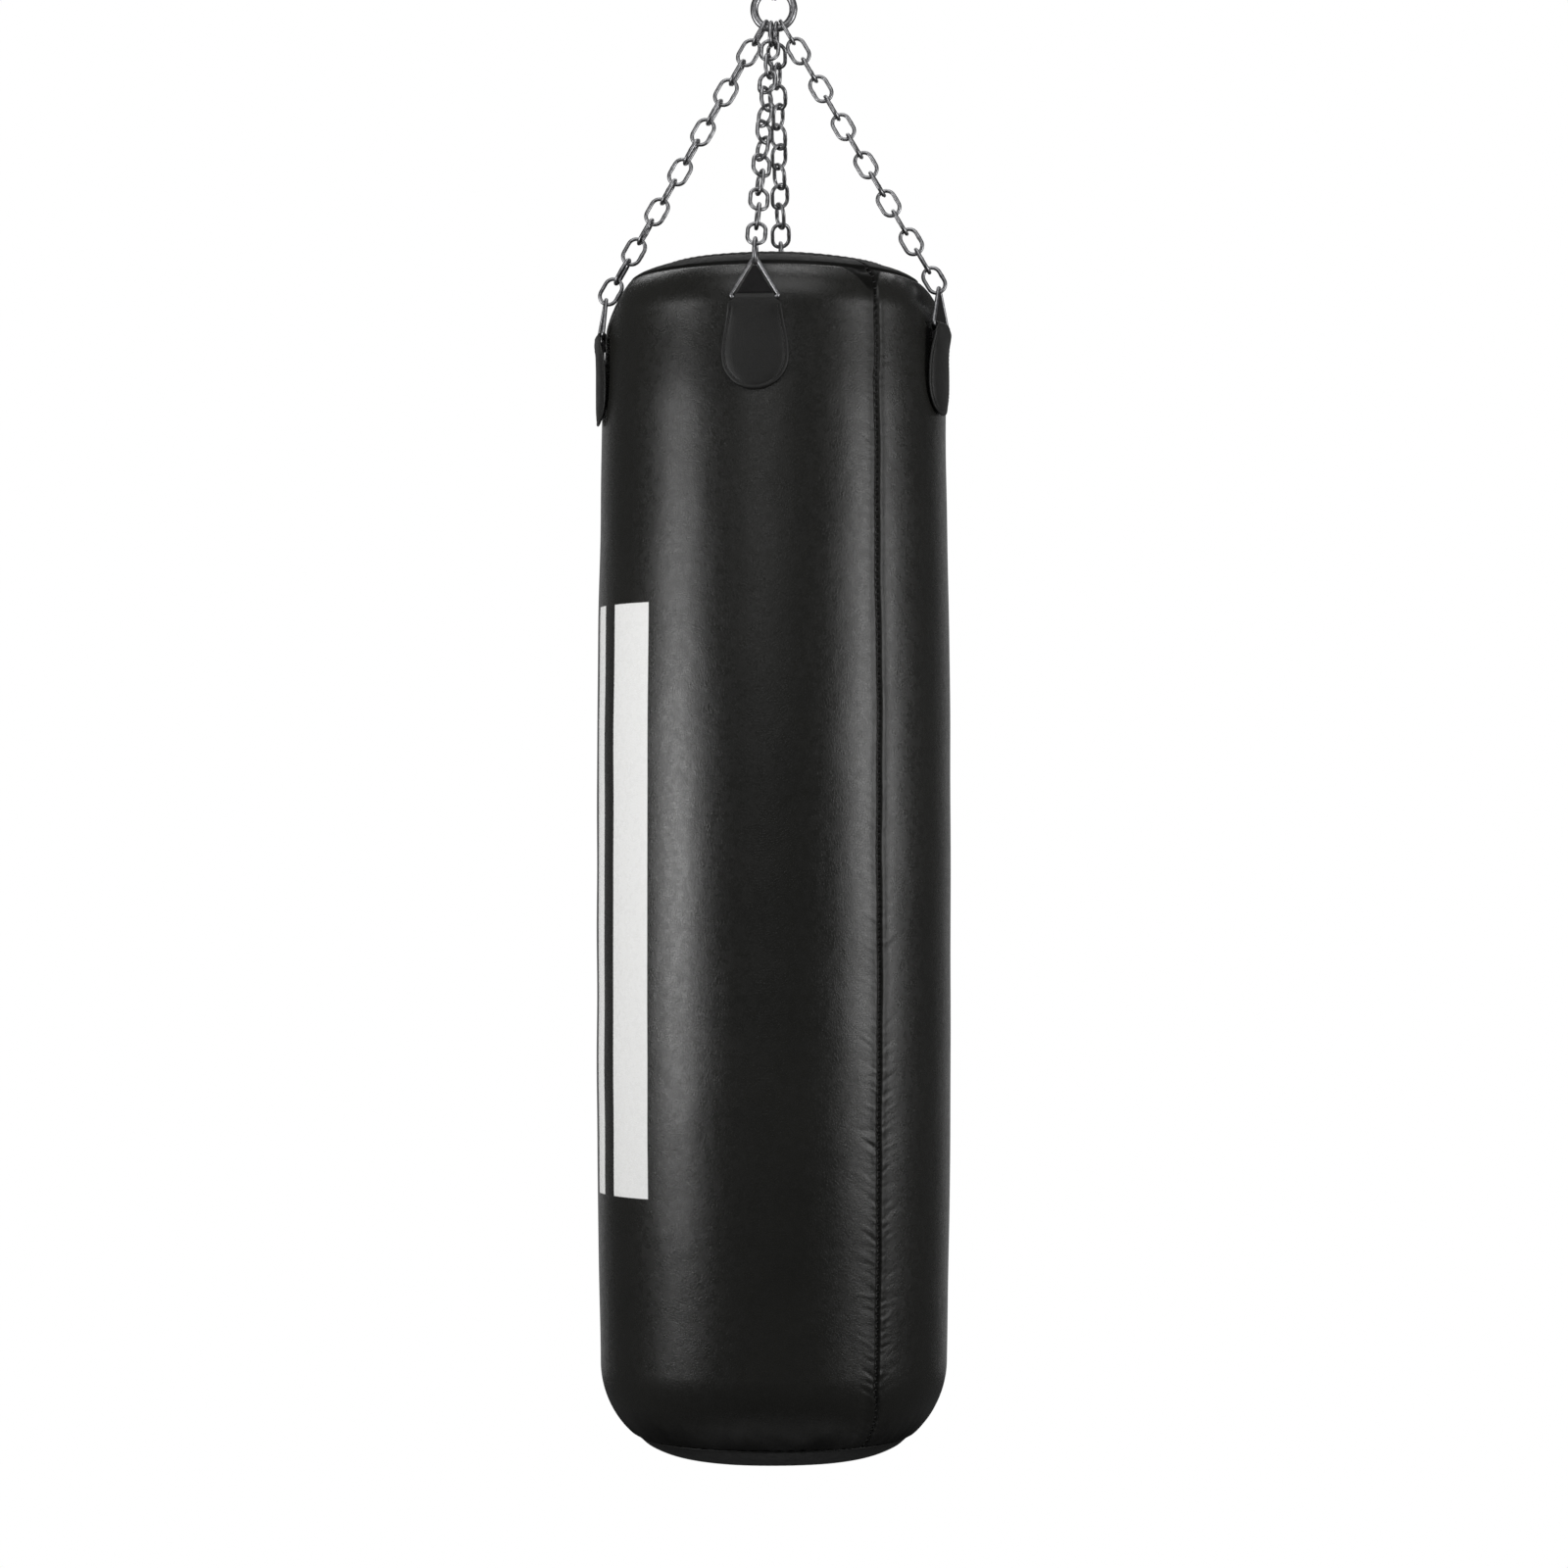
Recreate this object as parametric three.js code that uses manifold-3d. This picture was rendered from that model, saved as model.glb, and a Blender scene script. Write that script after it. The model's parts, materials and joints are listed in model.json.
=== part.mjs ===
// Leather heavy punching bag, hanging on four chains from a swivel and a snap hook.
// Millimetres, +Z up. The origin is the bearing point inside the top of the snap hook, where a
// ceiling hook carries the bag, so everything hangs below it. The front tab faces -Y.

import * as THREE from 'three';
import { mergeVertices } from 'three/addons/utils/BufferGeometryUtils.js';
import Module from 'manifold-3d';

const wasm = await Module();
wasm.setup();

const { smoothstep } = THREE.MathUtils;

// ---------------------------------------------------------------- driving dimensions

const GAP = 0.3;                      // running gap between pieces that touch

const BAG_HEIGHT = 1200;
const BAG_RADIUS = 174.5;             // at the two ends of the straight wall
const BULGE = 4.8;                    // how far the stuffing pushes the middle out
const BULGE_HEIGHT = 545;             // where it is fullest, above the base
const BULGE_REACH = 385;
const TOP_TAPER = 4.5;                // the wall draws in below the top shoulder
const TAPER_HEIGHT = 100;
const BASE_FLAT_RADIUS = 78;
const BASE_ROUNDING = 97;
const BASE_SEAM_RADIUS = 136;
const SHOULDER_WIDTH = 65;            // the top shoulder is a quarter ellipse
const SHOULDER_HEIGHT = 50;
const RIM_RADIUS = 118;
const DENT = 13;                      // the side chains press the shoulder in
const DENT_HEIGHT = 1166;
const DENT_REACH = { around: 34, up: 16 };
const LEATHER = 3;
const FOAM = 20;
const CANVAS = 1.2;
const ROUND_STEPS = 40;               // facets around the bag

const HOOK_WIRE = 4;                  // snap hook
const HOOK_BEND = 15;
const HOOK_STRAIGHT = 42;
const GATE_RADIUS = 4;
const GATE_PIVOT_Z = -47;
const GATE_TOP_Z = -14.4;
const NOSE_Z = -13.7;

const EYE_RADIUS = 11;                // both eyes of the swivel
const EYE_WIRE = 3.5;
const HOUSING_RADIUS = 14;
const HOUSING_BORE = 10.6;
const HOUSING_TOP_Z = -84;
const HOUSING_BOTTOM_Z = -108;
const SHANK_RADIUS = 4.4;

const RING_RADIUS = 20;               // o-ring that gathers the four chains
const RING_WIRE = 4;

const CHAIN_LINKS = 14;
const LINK_WIRE = 2;
const LINK_HALF_WIDTH = 8.75;         // centre of the link to the centre of its wire
const LINK_BITE = 0.3;                // how far neighbouring links merge where they bear
const SIDE_SEAT_ANGLE = 30;           // where the side chains sit on the o-ring, in degrees
const FRONT_SEAT_OFFSET = 2.4;        // front and back chains sit side by side on its lowest point

const TAB_WIDTH = 66;
const TAB_TOP_WIDTH = 52;
const TAB_LENGTH = 85;
const TAB_THICKNESS = 3.2;
const WEBBING_THICKNESS = 1.6;
const WEBBING_WIDTH = 40;
const TRIANGLE_WIDTH = 52;
const TRIANGLE_HEIGHT = 38.5;
const TRIANGLE_WIRE = 2;

// Where each tab hangs: its angle around the bag from the front, the height of the wire that its
// loop holds, above the bag's base, and how far from the axis its ring's apex is drawn.
const TABS = [
  { name: 'front', angle: 0, wireHeight: 1153, apexRadius: 176 },
  { name: 'right', angle: 77.5, wireHeight: 1138, apexRadius: 175 },
  { name: 'back', angle: 183.2, wireHeight: 1153, apexRadius: 176 },
  { name: 'left', angle: -76.5, wireHeight: 1130.5, apexRadius: 171 },
];

const RING_ABOVE_BASE = 1448;         // lowest wire of the o-ring, above the bag's base
const ZIP_LENGTH = 190;
const ZIP_RAIL_WIDTH = 4;
const SLIDER_X = -78;                 // the slider's place when the bag is closed

// ---------------------------------------------------------------- heights that follow from them

const hookTopZ = HOOK_WIRE - HOOK_BEND;
const hookBottomZ = hookTopZ - HOOK_STRAIGHT;
const hookSeatZ = hookBottomZ - HOOK_BEND;
const upperEyeZ = hookSeatZ + HOOK_WIRE + GAP - (EYE_RADIUS - EYE_WIRE);
const lowerEyeZ = HOUSING_BOTTOM_Z - 1.5 - EYE_WIRE - EYE_RADIUS;
const lowerEyeSeatZ = lowerEyeZ - EYE_RADIUS + EYE_WIRE;
const ringZ = lowerEyeSeatZ + GAP + RING_WIRE - RING_RADIUS;
const ringBottomZ = ringZ - RING_RADIUS;
const baseZ = ringBottomZ - RING_ABOVE_BASE;
const bagTopZ = baseZ + BAG_HEIGHT;

// ---------------------------------------------------------------- materials

const leather = (name, color) => ({ name, color, roughness: 0.5, metalness: 0 });
const BLACK_LEATHER = leather('black_leather', 0x2a2a28);
const TAB_LEATHER = leather('tab_leather', 0x2c2c2a);
const WEBBING = { name: 'webbing', color: 0x1c1a1c, roughness: 0.9, metalness: 0 };
const CANVAS_CLOTH = { name: 'canvas', color: 0xb9b09c, roughness: 0.95, metalness: 0 };
const FOAM_SHEET = { name: 'foam', color: 0x8d8f92, roughness: 0.95, metalness: 0 };
const RAGS = { name: 'textile_fill', color: 0x7c7a80, roughness: 1, metalness: 0 };
const ZINC = { name: 'zinc_steel', color: 0x9a9b9d, roughness: 0.4, metalness: 1 };
const FORGED = { name: 'forged_steel', color: 0x8c8e91, roughness: 0.35, metalness: 1 };
const BEARING = { name: 'bearing_steel', color: 0xb4b6b9, roughness: 0.25, metalness: 1 };
const SPRING = { name: 'spring_steel', color: 0x87898c, roughness: 0.4, metalness: 1 };
const ZIP_METAL = { name: 'zip_metal', color: 0x7a7468, roughness: 0.4, metalness: 1 };
const ZIP_CLOTH = { name: 'zip_cloth', color: 0x161616, roughness: 0.9, metalness: 0 };

const bag = new THREE.Group();

function piece(name, geometry, look) {
  const { color, roughness, metalness } = look;
  const material = new THREE.MeshStandardMaterial({ name: look.name, color, roughness, metalness });
  const mesh = new THREE.Mesh(geometry, material);
  mesh.name = name;
  bag.add(mesh);
  return mesh;
}

// ---------------------------------------------------------------- geometry helpers

// Leaves only positions, shares the vertices and turns the faces outward.
function closed(geometry) {
  const bare = geometry.index ? geometry : mergeVertices(geometry);
  bare.deleteAttribute('normal');
  bare.deleteAttribute('uv');
  const merged = mergeVertices(bare, 1e-4);
  const index = merged.index.array;
  const corners = [new THREE.Vector3(), new THREE.Vector3(), new THREE.Vector3()];
  const kept = [];
  let volume = 0;
  for (let i = 0; i < index.length; i += 3) {
    const [a, b, c] = [index[i], index[i + 1], index[i + 2]];
    if (a === b || b === c || c === a) continue;
    kept.push(a, b, c);
    [a, b, c].forEach((v, k) => corners[k].fromBufferAttribute(merged.attributes.position, v));
    volume += corners[0].dot(corners[1].clone().cross(corners[2]));
  }
  if (volume < 0) {
    for (let i = 0; i < kept.length; i += 3) [kept[i], kept[i + 1]] = [kept[i + 1], kept[i]];
  }
  merged.setIndex(kept);
  return merged;
}

function solid(geometry) {
  const mesh = closed(geometry);
  return new wasm.Manifold(new wasm.Mesh({
    numProp: 3,
    vertProperties: new Float32Array(mesh.attributes.position.array),
    triVerts: new Uint32Array(mesh.index.array),
  }));
}

function geometryOf(body) {
  const mesh = body.getMesh();
  const geometry = new THREE.BufferGeometry();
  geometry.setAttribute('position', new THREE.BufferAttribute(new Float32Array(mesh.vertProperties), 3));
  geometry.setIndex([...mesh.triVerts]);
  return geometry;
}

const box = (x, y, z) => new THREE.BoxGeometry(x[1] - x[0], y[1] - y[0], z[1] - z[0])
  .translate((x[0] + x[1]) / 2, (y[0] + y[1]) / 2, (z[0] + z[1]) / 2);

const rod = (radius, z, x = 0, sides = 16) => new THREE.CylinderGeometry(
  radius, radius, z[1] - z[0], sides).rotateX(Math.PI / 2).translate(x, 0, (z[0] + z[1]) / 2);

const crossPin = (radius, halfLength, x, z, sides = 12) => new THREE.CylinderGeometry(
  radius, radius, 2 * halfLength, sides).translate(x, 0, z);

// Turns a profile of [radius, z] points around the Z axis.
function turned(profile, steps = ROUND_STEPS) {
  const points = profile.map(([r, z]) => new THREE.Vector2(r, z));
  return closed(new THREE.LatheGeometry(points, steps).rotateX(Math.PI / 2));
}

// A profile that doesn't reach the axis, closed on itself.
const turnedRing = (profile, steps) => turned([...profile, profile[0]], steps);

const washer = (inner, outer, z, steps = 24) => turnedRing(
  [[inner, z[0]], [outer, z[0]], [outer, z[1]], [inner, z[1]]], steps);

// Unit sections' in-plane axes, lengthened at each bend so that the wire keeps its thickness.
function mitreSides(path, normal, loops) {
  const n = path.length;
  const sideOf = (from, to) => to.clone().sub(from).normalize().cross(normal);
  return path.map((point, i) => {
    const first = !loops && i === 0;
    const last = !loops && i === n - 1;
    const before = first ? null : sideOf(path[(i - 1 + n) % n], point);
    const after = last ? null : sideOf(point, path[(i + 1) % n]);
    const middle = (before ?? after).clone().add(after ?? before).normalize();
    return middle.divideScalar(middle.dot(before ?? after));
  });
}

// A wire bent along a closed flat path: a torus whose sections are moved onto the path.
function closedWire(path, normal, radius, sides = 6) {
  const wire = new THREE.TorusGeometry(1, 0.1, sides, path.length);
  const across = mitreSides(path, normal, true);
  const position = wire.attributes.position;
  const columns = path.length + 1;
  for (let k = 0; k < position.count; k++) {
    const i = (k % columns) % path.length;
    const turn = (Math.floor(k / columns) / sides) * 2 * Math.PI;
    const place = path[i].clone()
      .addScaledVector(across[i], radius * Math.cos(turn))
      .addScaledVector(normal, radius * Math.sin(turn));
    position.setXYZ(k, place.x, place.y, place.z);
  }
  return closed(wire);
}

// A wire bent along an open flat path, with flat ends: a cylinder moved onto the path.
function openWire(path, normal, radius, sides = 10) {
  const spans = path.length - 1;
  const wire = new THREE.CylinderGeometry(1, 1, 1, sides, spans);
  const across = mitreSides(path, normal, false);
  const position = wire.attributes.position;
  for (let k = 0; k < position.count; k++) {
    const i = Math.round((0.5 - position.getY(k)) * spans);
    const place = path[i].clone()
      .addScaledVector(across[i], radius * position.getX(k))
      .addScaledVector(normal, radius * position.getZ(k));
    position.setXYZ(k, place.x, place.y, place.z);
  }
  return closed(wire);
}

// Points of an arc in the XZ plane; angles in degrees from +X towards +Z.
function arc(x, z, radius, from, to, steps) {
  return Array.from({ length: steps + 1 }, (_, i) => {
    const angle = THREE.MathUtils.degToRad(from + ((to - from) * i) / steps);
    return new THREE.Vector3(x + radius * Math.cos(angle), 0, z + radius * Math.sin(angle));
  });
}

const circle = (x, z, radius, steps) => arc(x, z, radius, 0, 360, steps).slice(0, -1);

const FACING_FRONT = new THREE.Vector3(0, 1, 0);
const QUARTER_TURN = Math.PI / 2;

// ---------------------------------------------------------------- snap hook

function snapHookBody() {
  const path = [
    new THREE.Vector3(HOOK_BEND, 0, NOSE_Z),
    ...arc(0, hookTopZ, HOOK_BEND, 0, 180, 8),
    ...arc(0, hookBottomZ, HOOK_BEND, 180, 360, 8),
  ];
  const wire = solid(openWire(path, FACING_FRONT, HOOK_WIRE));
  const noseX = [HOOK_BEND - 6, HOOK_BEND + 1.7];
  const noseSlot = solid(box(noseX, [-1.6, 1.6], [NOSE_Z - 1, NOSE_Z + 4.4]));
  const tangX = [HOOK_BEND - 3.4, HOOK_BEND + 3.4];
  const tang = solid(box(tangX, [-1.3, 1.3], [hookBottomZ - 2, GATE_PIVOT_Z + 3.4]));
  const pinHole = solid(crossPin(1.6, 6, HOOK_BEND, GATE_PIVOT_Z));
  return geometryOf(wire.subtract(noseSlot).add(tang).subtract(pinHole));
}

function gate() {
  const tongueX = [HOOK_BEND - 3.3, HOOK_BEND + 1.2];
  const tongue = solid(box(tongueX, [-1.1, 1.1], [GATE_TOP_Z - 1, NOSE_Z + 3.7]));
  const forkX = [HOOK_BEND - 6, HOOK_BEND + 6];
  const fork = solid(box(forkX, [-1.7, 1.7], [GATE_PIVOT_Z - 6, GATE_PIVOT_Z + 4.6]));
  const bore = solid(rod(2.3, [GATE_PIVOT_Z + 4, GATE_PIVOT_Z + 20], HOOK_BEND, 12));
  const pinHole = solid(crossPin(1.6, 6, HOOK_BEND, GATE_PIVOT_Z));
  return geometryOf(solid(rod(GATE_RADIUS, [GATE_PIVOT_Z - 3.5, GATE_TOP_Z], HOOK_BEND, 16))
    .add(tongue).subtract(fork).subtract(bore).subtract(pinHole));
}

// A coil of round wire that stands in the gate's bore.
function gateSpring() {
  const turns = 6;
  const coilRadius = 1.55;
  const bottom = GATE_PIVOT_Z + 5;
  const height = 13.5;
  const steps = turns * 8;
  const points = Array.from({ length: steps + 1 }, (_, i) => {
    const angle = (i / steps) * turns * 2 * Math.PI;
    const z = bottom + (i / steps) * height;
    return new THREE.Vector3(HOOK_BEND + coilRadius * Math.cos(angle), coilRadius * Math.sin(angle), z);
  });
  const section = new THREE.Shape(new THREE.Path().absarc(0, 0, 0.4, 0, 2 * Math.PI).getPoints(2));
  const extrudePath = new THREE.CatmullRomCurve3(points);
  return closed(new THREE.ExtrudeGeometry(section, { steps, extrudePath }));
}

piece('snap_hook_body', snapHookBody(), FORGED);
piece('snap_hook_gate', gate(), FORGED);
piece('gate_pin', crossPin(1.3, GATE_RADIUS - 0.2, HOOK_BEND, GATE_PIVOT_Z), BEARING);
piece('gate_spring', gateSpring(), SPRING);

// ---------------------------------------------------------------- ball-bearing swivel

function eye(z) {
  const ring = closedWire(circle(0, z, EYE_RADIUS, 16), FACING_FRONT, EYE_WIRE, 8);
  return solid(ring.rotateZ(QUARTER_TURN));
}

function swivelHousing() {
  const shoulder = HOUSING_RADIUS - 4;
  const cup = solid(turned([
    [0, HOUSING_TOP_Z], [shoulder, HOUSING_TOP_Z], [HOUSING_RADIUS, HOUSING_TOP_Z - 4],
    [HOUSING_RADIUS, HOUSING_BOTTOM_Z], [HOUSING_BORE, HOUSING_BOTTOM_Z],
    [HOUSING_BORE, HOUSING_TOP_Z - 4.2], [0, HOUSING_TOP_Z - 4.2],
  ], 24));
  return geometryOf(cup.add(eye(upperEyeZ)));
}

function eyeBolt() {
  const shank = solid(rod(SHANK_RADIUS, [lowerEyeZ + EYE_RADIUS, HOUSING_TOP_Z - 5.2]));
  return geometryOf(eye(lowerEyeZ).add(shank));
}

// The balls sit half sunk in a brass cage, and are one solid with it.
function ballCage(z) {
  const balls = 8;
  const track = 7.3;
  let cage = solid(washer(5.9, 8.7, [z - 0.6, z + 0.6]));
  for (let i = 0; i < balls; i++) {
    const angle = (i / balls) * 2 * Math.PI;
    const ball = new THREE.SphereGeometry(1.5, 6, 4)
      .translate(track * Math.cos(angle), track * Math.sin(angle), z);
    cage = cage.add(solid(ball));
  }
  return geometryOf(cage);
}

function hexNut(z) {
  const bore = solid(rod(SHANK_RADIUS + GAP, [z[0] - 1, z[1] + 1], 0, 24));
  return geometryOf(solid(rod(8.6, z, 0, 6)).subtract(bore));
}

const capZ = [HOUSING_BOTTOM_Z + 0.5, HOUSING_BOTTOM_Z + 4.5];
const lowerRaceZ = [capZ[1] + GAP, capZ[1] + GAP + 1.5];
const ballZ = lowerRaceZ[1] + GAP + 1.5;
const upperRaceZ = [ballZ + 1.5 + GAP, ballZ + 3 + GAP];
const nutZ = [upperRaceZ[1] + GAP, upperRaceZ[1] + GAP + 5.5];
const clearBore = SHANK_RADIUS + GAP;

piece('swivel_housing', swivelHousing(), FORGED);
piece('swivel_end_cap', washer(clearBore, HOUSING_BORE - GAP, capZ), FORGED);
piece('bearing_lower_race', washer(clearBore + 0.4, 9.8, lowerRaceZ), BEARING);
piece('bearing_ball_cage', ballCage(ballZ), BEARING);
piece('bearing_upper_race', washer(clearBore + 0.1, 9.8, upperRaceZ), BEARING);
piece('swivel_nut', hexNut(nutZ), ZINC);
piece('swivel_eye_bolt', eyeBolt(), FORGED);

// ---------------------------------------------------------------- o-ring and chains

piece('o_ring', closedWire(circle(0, ringZ, RING_RADIUS, 24), FACING_FRONT, RING_WIRE, 8), ZINC);

// One stretched octagonal link in its own XZ plane, its length along Z.
function link(innerLength) {
  const straight = innerLength / 2 + LINK_WIRE - LINK_HALF_WIDTH;
  const corner = LINK_HALF_WIDTH / Math.cos(Math.PI / 8);
  const path = arc(0, 0, corner, 22.5, 337.5, 7)
    .map((point) => point.setZ(point.z + Math.sign(point.z) * straight));
  return closedWire(path, FACING_FRONT, LINK_WIRE, 5);
}

// A taut chain from the o-ring's wire to the apex of a triangle ring. The first link hooks round
// the o-ring and the last one round the apex, and the links between share out the twist.
function chain(from, to, firstPlane, twist) {
  const span = to.clone().sub(from);
  const down = span.clone().normalize();
  const ends = LINK_WIRE + RING_WIRE + 2 * GAP;
  const innerLength = (span.length() + ends - (CHAIN_LINKS - 1) * LINK_BITE) / CHAIN_LINKS;
  const start = innerLength / 2 - RING_WIRE - GAP;
  const across = firstPlane.clone().addScaledVector(down, -firstPlane.dot(down)).normalize();
  const facing = down.clone().cross(across);
  let body = null;
  for (let i = 0; i < CHAIN_LINKS; i++) {
    const turn = i * QUARTER_TURN + (twist * i) / (CHAIN_LINKS - 1);
    const side = across.clone().multiplyScalar(Math.cos(turn)).addScaledVector(facing, Math.sin(turn));
    const normal = down.clone().cross(side);
    const centre = from.clone().addScaledVector(down, start + i * (innerLength + LINK_BITE));
    const place = new THREE.Matrix4().makeBasis(side, normal.negate(), down).setPosition(centre);
    const next = solid(link(innerLength).applyMatrix4(place));
    body = body ? body.add(next) : next;
  }
  return geometryOf(body);
}

const around = (angle, radius, z) => {
  const turn = THREE.MathUtils.degToRad(angle);
  return new THREE.Vector3(radius * Math.sin(turn), -radius * Math.cos(turn), z);
};

const loopRadius = BAG_RADIUS + 2;

// How far a ring's apex rises above the wire that its tab holds, when the ring leans.
const riseOf = (tab) => Math.sqrt(TRIANGLE_HEIGHT ** 2 - (loopRadius - tab.apexRadius) ** 2);
const apexOf = (tab) => around(tab.angle, tab.apexRadius, baseZ + tab.wireHeight + riseOf(tab));

const isSide = (tab) => tab.name === 'left' || tab.name === 'right';

function seatOf(tab) {
  if (!isSide(tab)) {
    const offset = tab.name === 'front' ? -FRONT_SEAT_OFFSET : FRONT_SEAT_OFFSET;
    return new THREE.Vector3(offset, 0, ringZ - Math.sqrt(RING_RADIUS ** 2 - offset ** 2));
  }
  const turn = THREE.MathUtils.degToRad(SIDE_SEAT_ANGLE) * Math.sign(tab.angle);
  return new THREE.Vector3(RING_RADIUS * Math.sin(turn), 0, ringZ - RING_RADIUS * Math.cos(turn));
}

for (const tab of TABS) {
  const twist = isSide(tab) ? 0 : QUARTER_TURN;
  const plane = new THREE.Vector3(0, 1, 0);
  piece(`${tab.name}_chain`, chain(seatOf(tab), apexOf(tab), plane, twist), ZINC);
}

// ---------------------------------------------------------------- bag shell

const wallTop = BAG_HEIGHT - SHOULDER_HEIGHT;

// Outer radius of the wall at a height above the base, swollen in the middle, drawn in at the top.
function wallRadius(height) {
  const swell = BULGE * Math.exp(-(((height - BULGE_HEIGHT) / BULGE_REACH) ** 4));
  return BAG_RADIUS + swell - TOP_TAPER * smoothstep(height, wallTop - TAPER_HEIGHT, wallTop);
}

// The outer profile from the base seam to the top rim, pushed inward by an offset.
function wallProfile(offset, fromRadius, toRadius, steps) {
  const baseArc = [];
  const start = Math.asin((fromRadius - BASE_FLAT_RADIUS) / BASE_ROUNDING);
  for (let i = 0; i <= steps; i++) {
    const angle = start + ((QUARTER_TURN - start) * i) / steps;
    baseArc.push([
      BASE_FLAT_RADIUS + (wallRadius(BASE_ROUNDING) - BASE_FLAT_RADIUS - offset) * Math.sin(angle),
      BASE_ROUNDING - (BASE_ROUNDING - offset) * Math.cos(angle),
    ]);
  }
  const wall = [];
  const wallSteps = 2 * steps;
  for (let i = 1; i < wallSteps; i++) {
    const height = BASE_ROUNDING + ((wallTop - BASE_ROUNDING) * i) / wallSteps;
    wall.push([wallRadius(height) - offset, height]);
  }
  const shoulder = [];
  const flat = wallRadius(wallTop) - SHOULDER_WIDTH;
  const end = Math.acos((toRadius - flat) / SHOULDER_WIDTH);
  for (let i = 0; i <= steps; i++) {
    const angle = (end * i) / steps;
    shoulder.push([
      flat + (SHOULDER_WIDTH - offset) * Math.cos(angle),
      wallTop + (SHOULDER_HEIGHT - offset) * Math.sin(angle),
    ]);
  }
  return [...baseArc, ...wall, ...shoulder].map(([r, z]) => [r, baseZ + z]);
}

// Presses the shoulder in below the two side chains, its inner face as far as its outer face.
function pressIn(geometry) {
  const position = geometry.attributes.position;
  for (let k = 0; k < position.count; k++) {
    const point = new THREE.Vector3().fromBufferAttribute(position, k);
    const radius = Math.hypot(point.x, point.y);
    const up = (point.z - baseZ - DENT_HEIGHT) / DENT_REACH.up;
    for (const tab of TABS.filter(isSide)) {
      const middle = around(tab.angle, radius, point.z);
      const across = point.distanceTo(middle) / DENT_REACH.around;
      const press = DENT * Math.exp(-across * across - up * up);
      position.setX(k, position.getX(k) - (press * point.x) / radius);
      position.setY(k, position.getY(k) - (press * point.y) / radius);
    }
  }
  return geometry;
}

function shellWall() {
  const outside = wallProfile(0, BASE_SEAM_RADIUS, RIM_RADIUS, 4);
  const inside = wallProfile(LEATHER, BASE_SEAM_RADIUS, RIM_RADIUS, 4);
  return pressIn(turnedRing([...outside, ...inside.reverse()]));
}

// The base is a leather disc, flat in the middle and turned up to the seam with the wall.
function baseDisc() {
  const rise = (radius, offset) => {
    const lean = Math.max(0, radius - BASE_FLAT_RADIUS) / BASE_ROUNDING;
    return BASE_ROUNDING - (BASE_ROUNDING - offset) * Math.sqrt(1 - lean ** 2);
  };
  const edge = BASE_SEAM_RADIUS - 1;
  const radii = [BASE_FLAT_RADIUS, (BASE_FLAT_RADIUS + edge) / 2, edge];
  const under = radii.map((r) => [r, baseZ + rise(r, 0)]);
  const above = radii.map((r) => [r - 1, baseZ + rise(r, LEATHER)]);
  return turned([[0, baseZ], ...under, ...above.reverse(), [0, baseZ + LEATHER]]);
}

const lidTopZ = bagTopZ - 9;
const lidZ = [lidTopZ - LEATHER, lidTopZ];

// The top lid is a recessed leather disc with the zip's slot cut through it.
function topLid() {
  const edge = RIM_RADIUS - 9;
  const disc = solid(turned([[0, lidZ[0]], [edge, lidZ[0]], [edge, lidZ[1]], [0, lidZ[1]]]));
  const slot = solid(box([-ZIP_LENGTH / 2, ZIP_LENGTH / 2], [-8, 8], [lidZ[0] - 1, lidZ[1] + 1]));
  return geometryOf(disc.subtract(slot));
}

// A rolled leather binding round the opening, closing the gap between the wall and the lid.
function rimBinding() {
  const centre = [RIM_RADIUS - 5, bagTopZ - 2.5];
  const profile = arc(0, 0, 1, 0, 360, 8).slice(0, -1)
    .map((point) => [centre[0] + 4 * point.x, centre[1] + 5 * point.z]);
  return turnedRing(profile);
}

function zipTape() {
  const under = lidZ[0] - GAP;
  const tape = solid(box([-ZIP_LENGTH / 2 - 8, ZIP_LENGTH / 2 + 8], [-15, 15], [under - 1.2, under]));
  const half = ZIP_LENGTH / 2 - 3;
  const railY = [-ZIP_RAIL_WIDTH / 2, ZIP_RAIL_WIDTH / 2];
  const rail = solid(box([-half, half], railY, [under - 0.6, under + 2.4]));
  return geometryOf(tape.add(rail));
}

const railTopZ = lidZ[0] - GAP + 2.4;
const pullerZ = railTopZ + GAP + 1.4 + 3.2;

function zipSlider() {
  const top = railTopZ + GAP;
  const shell = solid(box([SLIDER_X - 7, SLIDER_X + 7], [-5, 5], [lidZ[0], top + 1.4]));
  const channelWidth = ZIP_RAIL_WIDTH / 2 + GAP;
  const channelX = [SLIDER_X - 8, SLIDER_X + 8];
  const channel = solid(box(channelX, [-channelWidth, channelWidth], [lidZ[0] - 1, top]));
  let body = shell.subtract(channel);
  for (const side of [-1, 1]) {
    const cheek = [side * 3.2, side * 4.6].sort((a, b) => a - b);
    body = body.add(solid(box([SLIDER_X - 2, SLIDER_X + 2], cheek, [top + 1, pullerZ + 2])));
  }
  return geometryOf(body.add(solid(crossPin(0.9, 4, SLIDER_X, pullerZ, 10))));
}

function zipPuller() {
  const plate = solid(box([SLIDER_X - 2.4, SLIDER_X + 26], [-2.8, 2.8], [pullerZ - 1.6, pullerZ + 1.6]));
  const hole = solid(crossPin(1.25, 4, SLIDER_X, pullerZ, 10));
  const thin = solid(box([SLIDER_X + 4, SLIDER_X + 30], [-4, 4], [pullerZ + 0.2, pullerZ + 3]));
  return geometryOf(plate.subtract(hole).subtract(thin));
}

piece('shell_wall', shellWall(), BLACK_LEATHER);
piece('base_disc', baseDisc(), BLACK_LEATHER);
piece('top_rim_binding', rimBinding(), BLACK_LEATHER);
piece('top_lid', topLid(), BLACK_LEATHER);
piece('zip_tape', zipTape(), ZIP_CLOTH);
piece('zip_slider', zipSlider(), ZIP_METAL);
piece('zip_puller', zipPuller(), ZIP_METAL);

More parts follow.
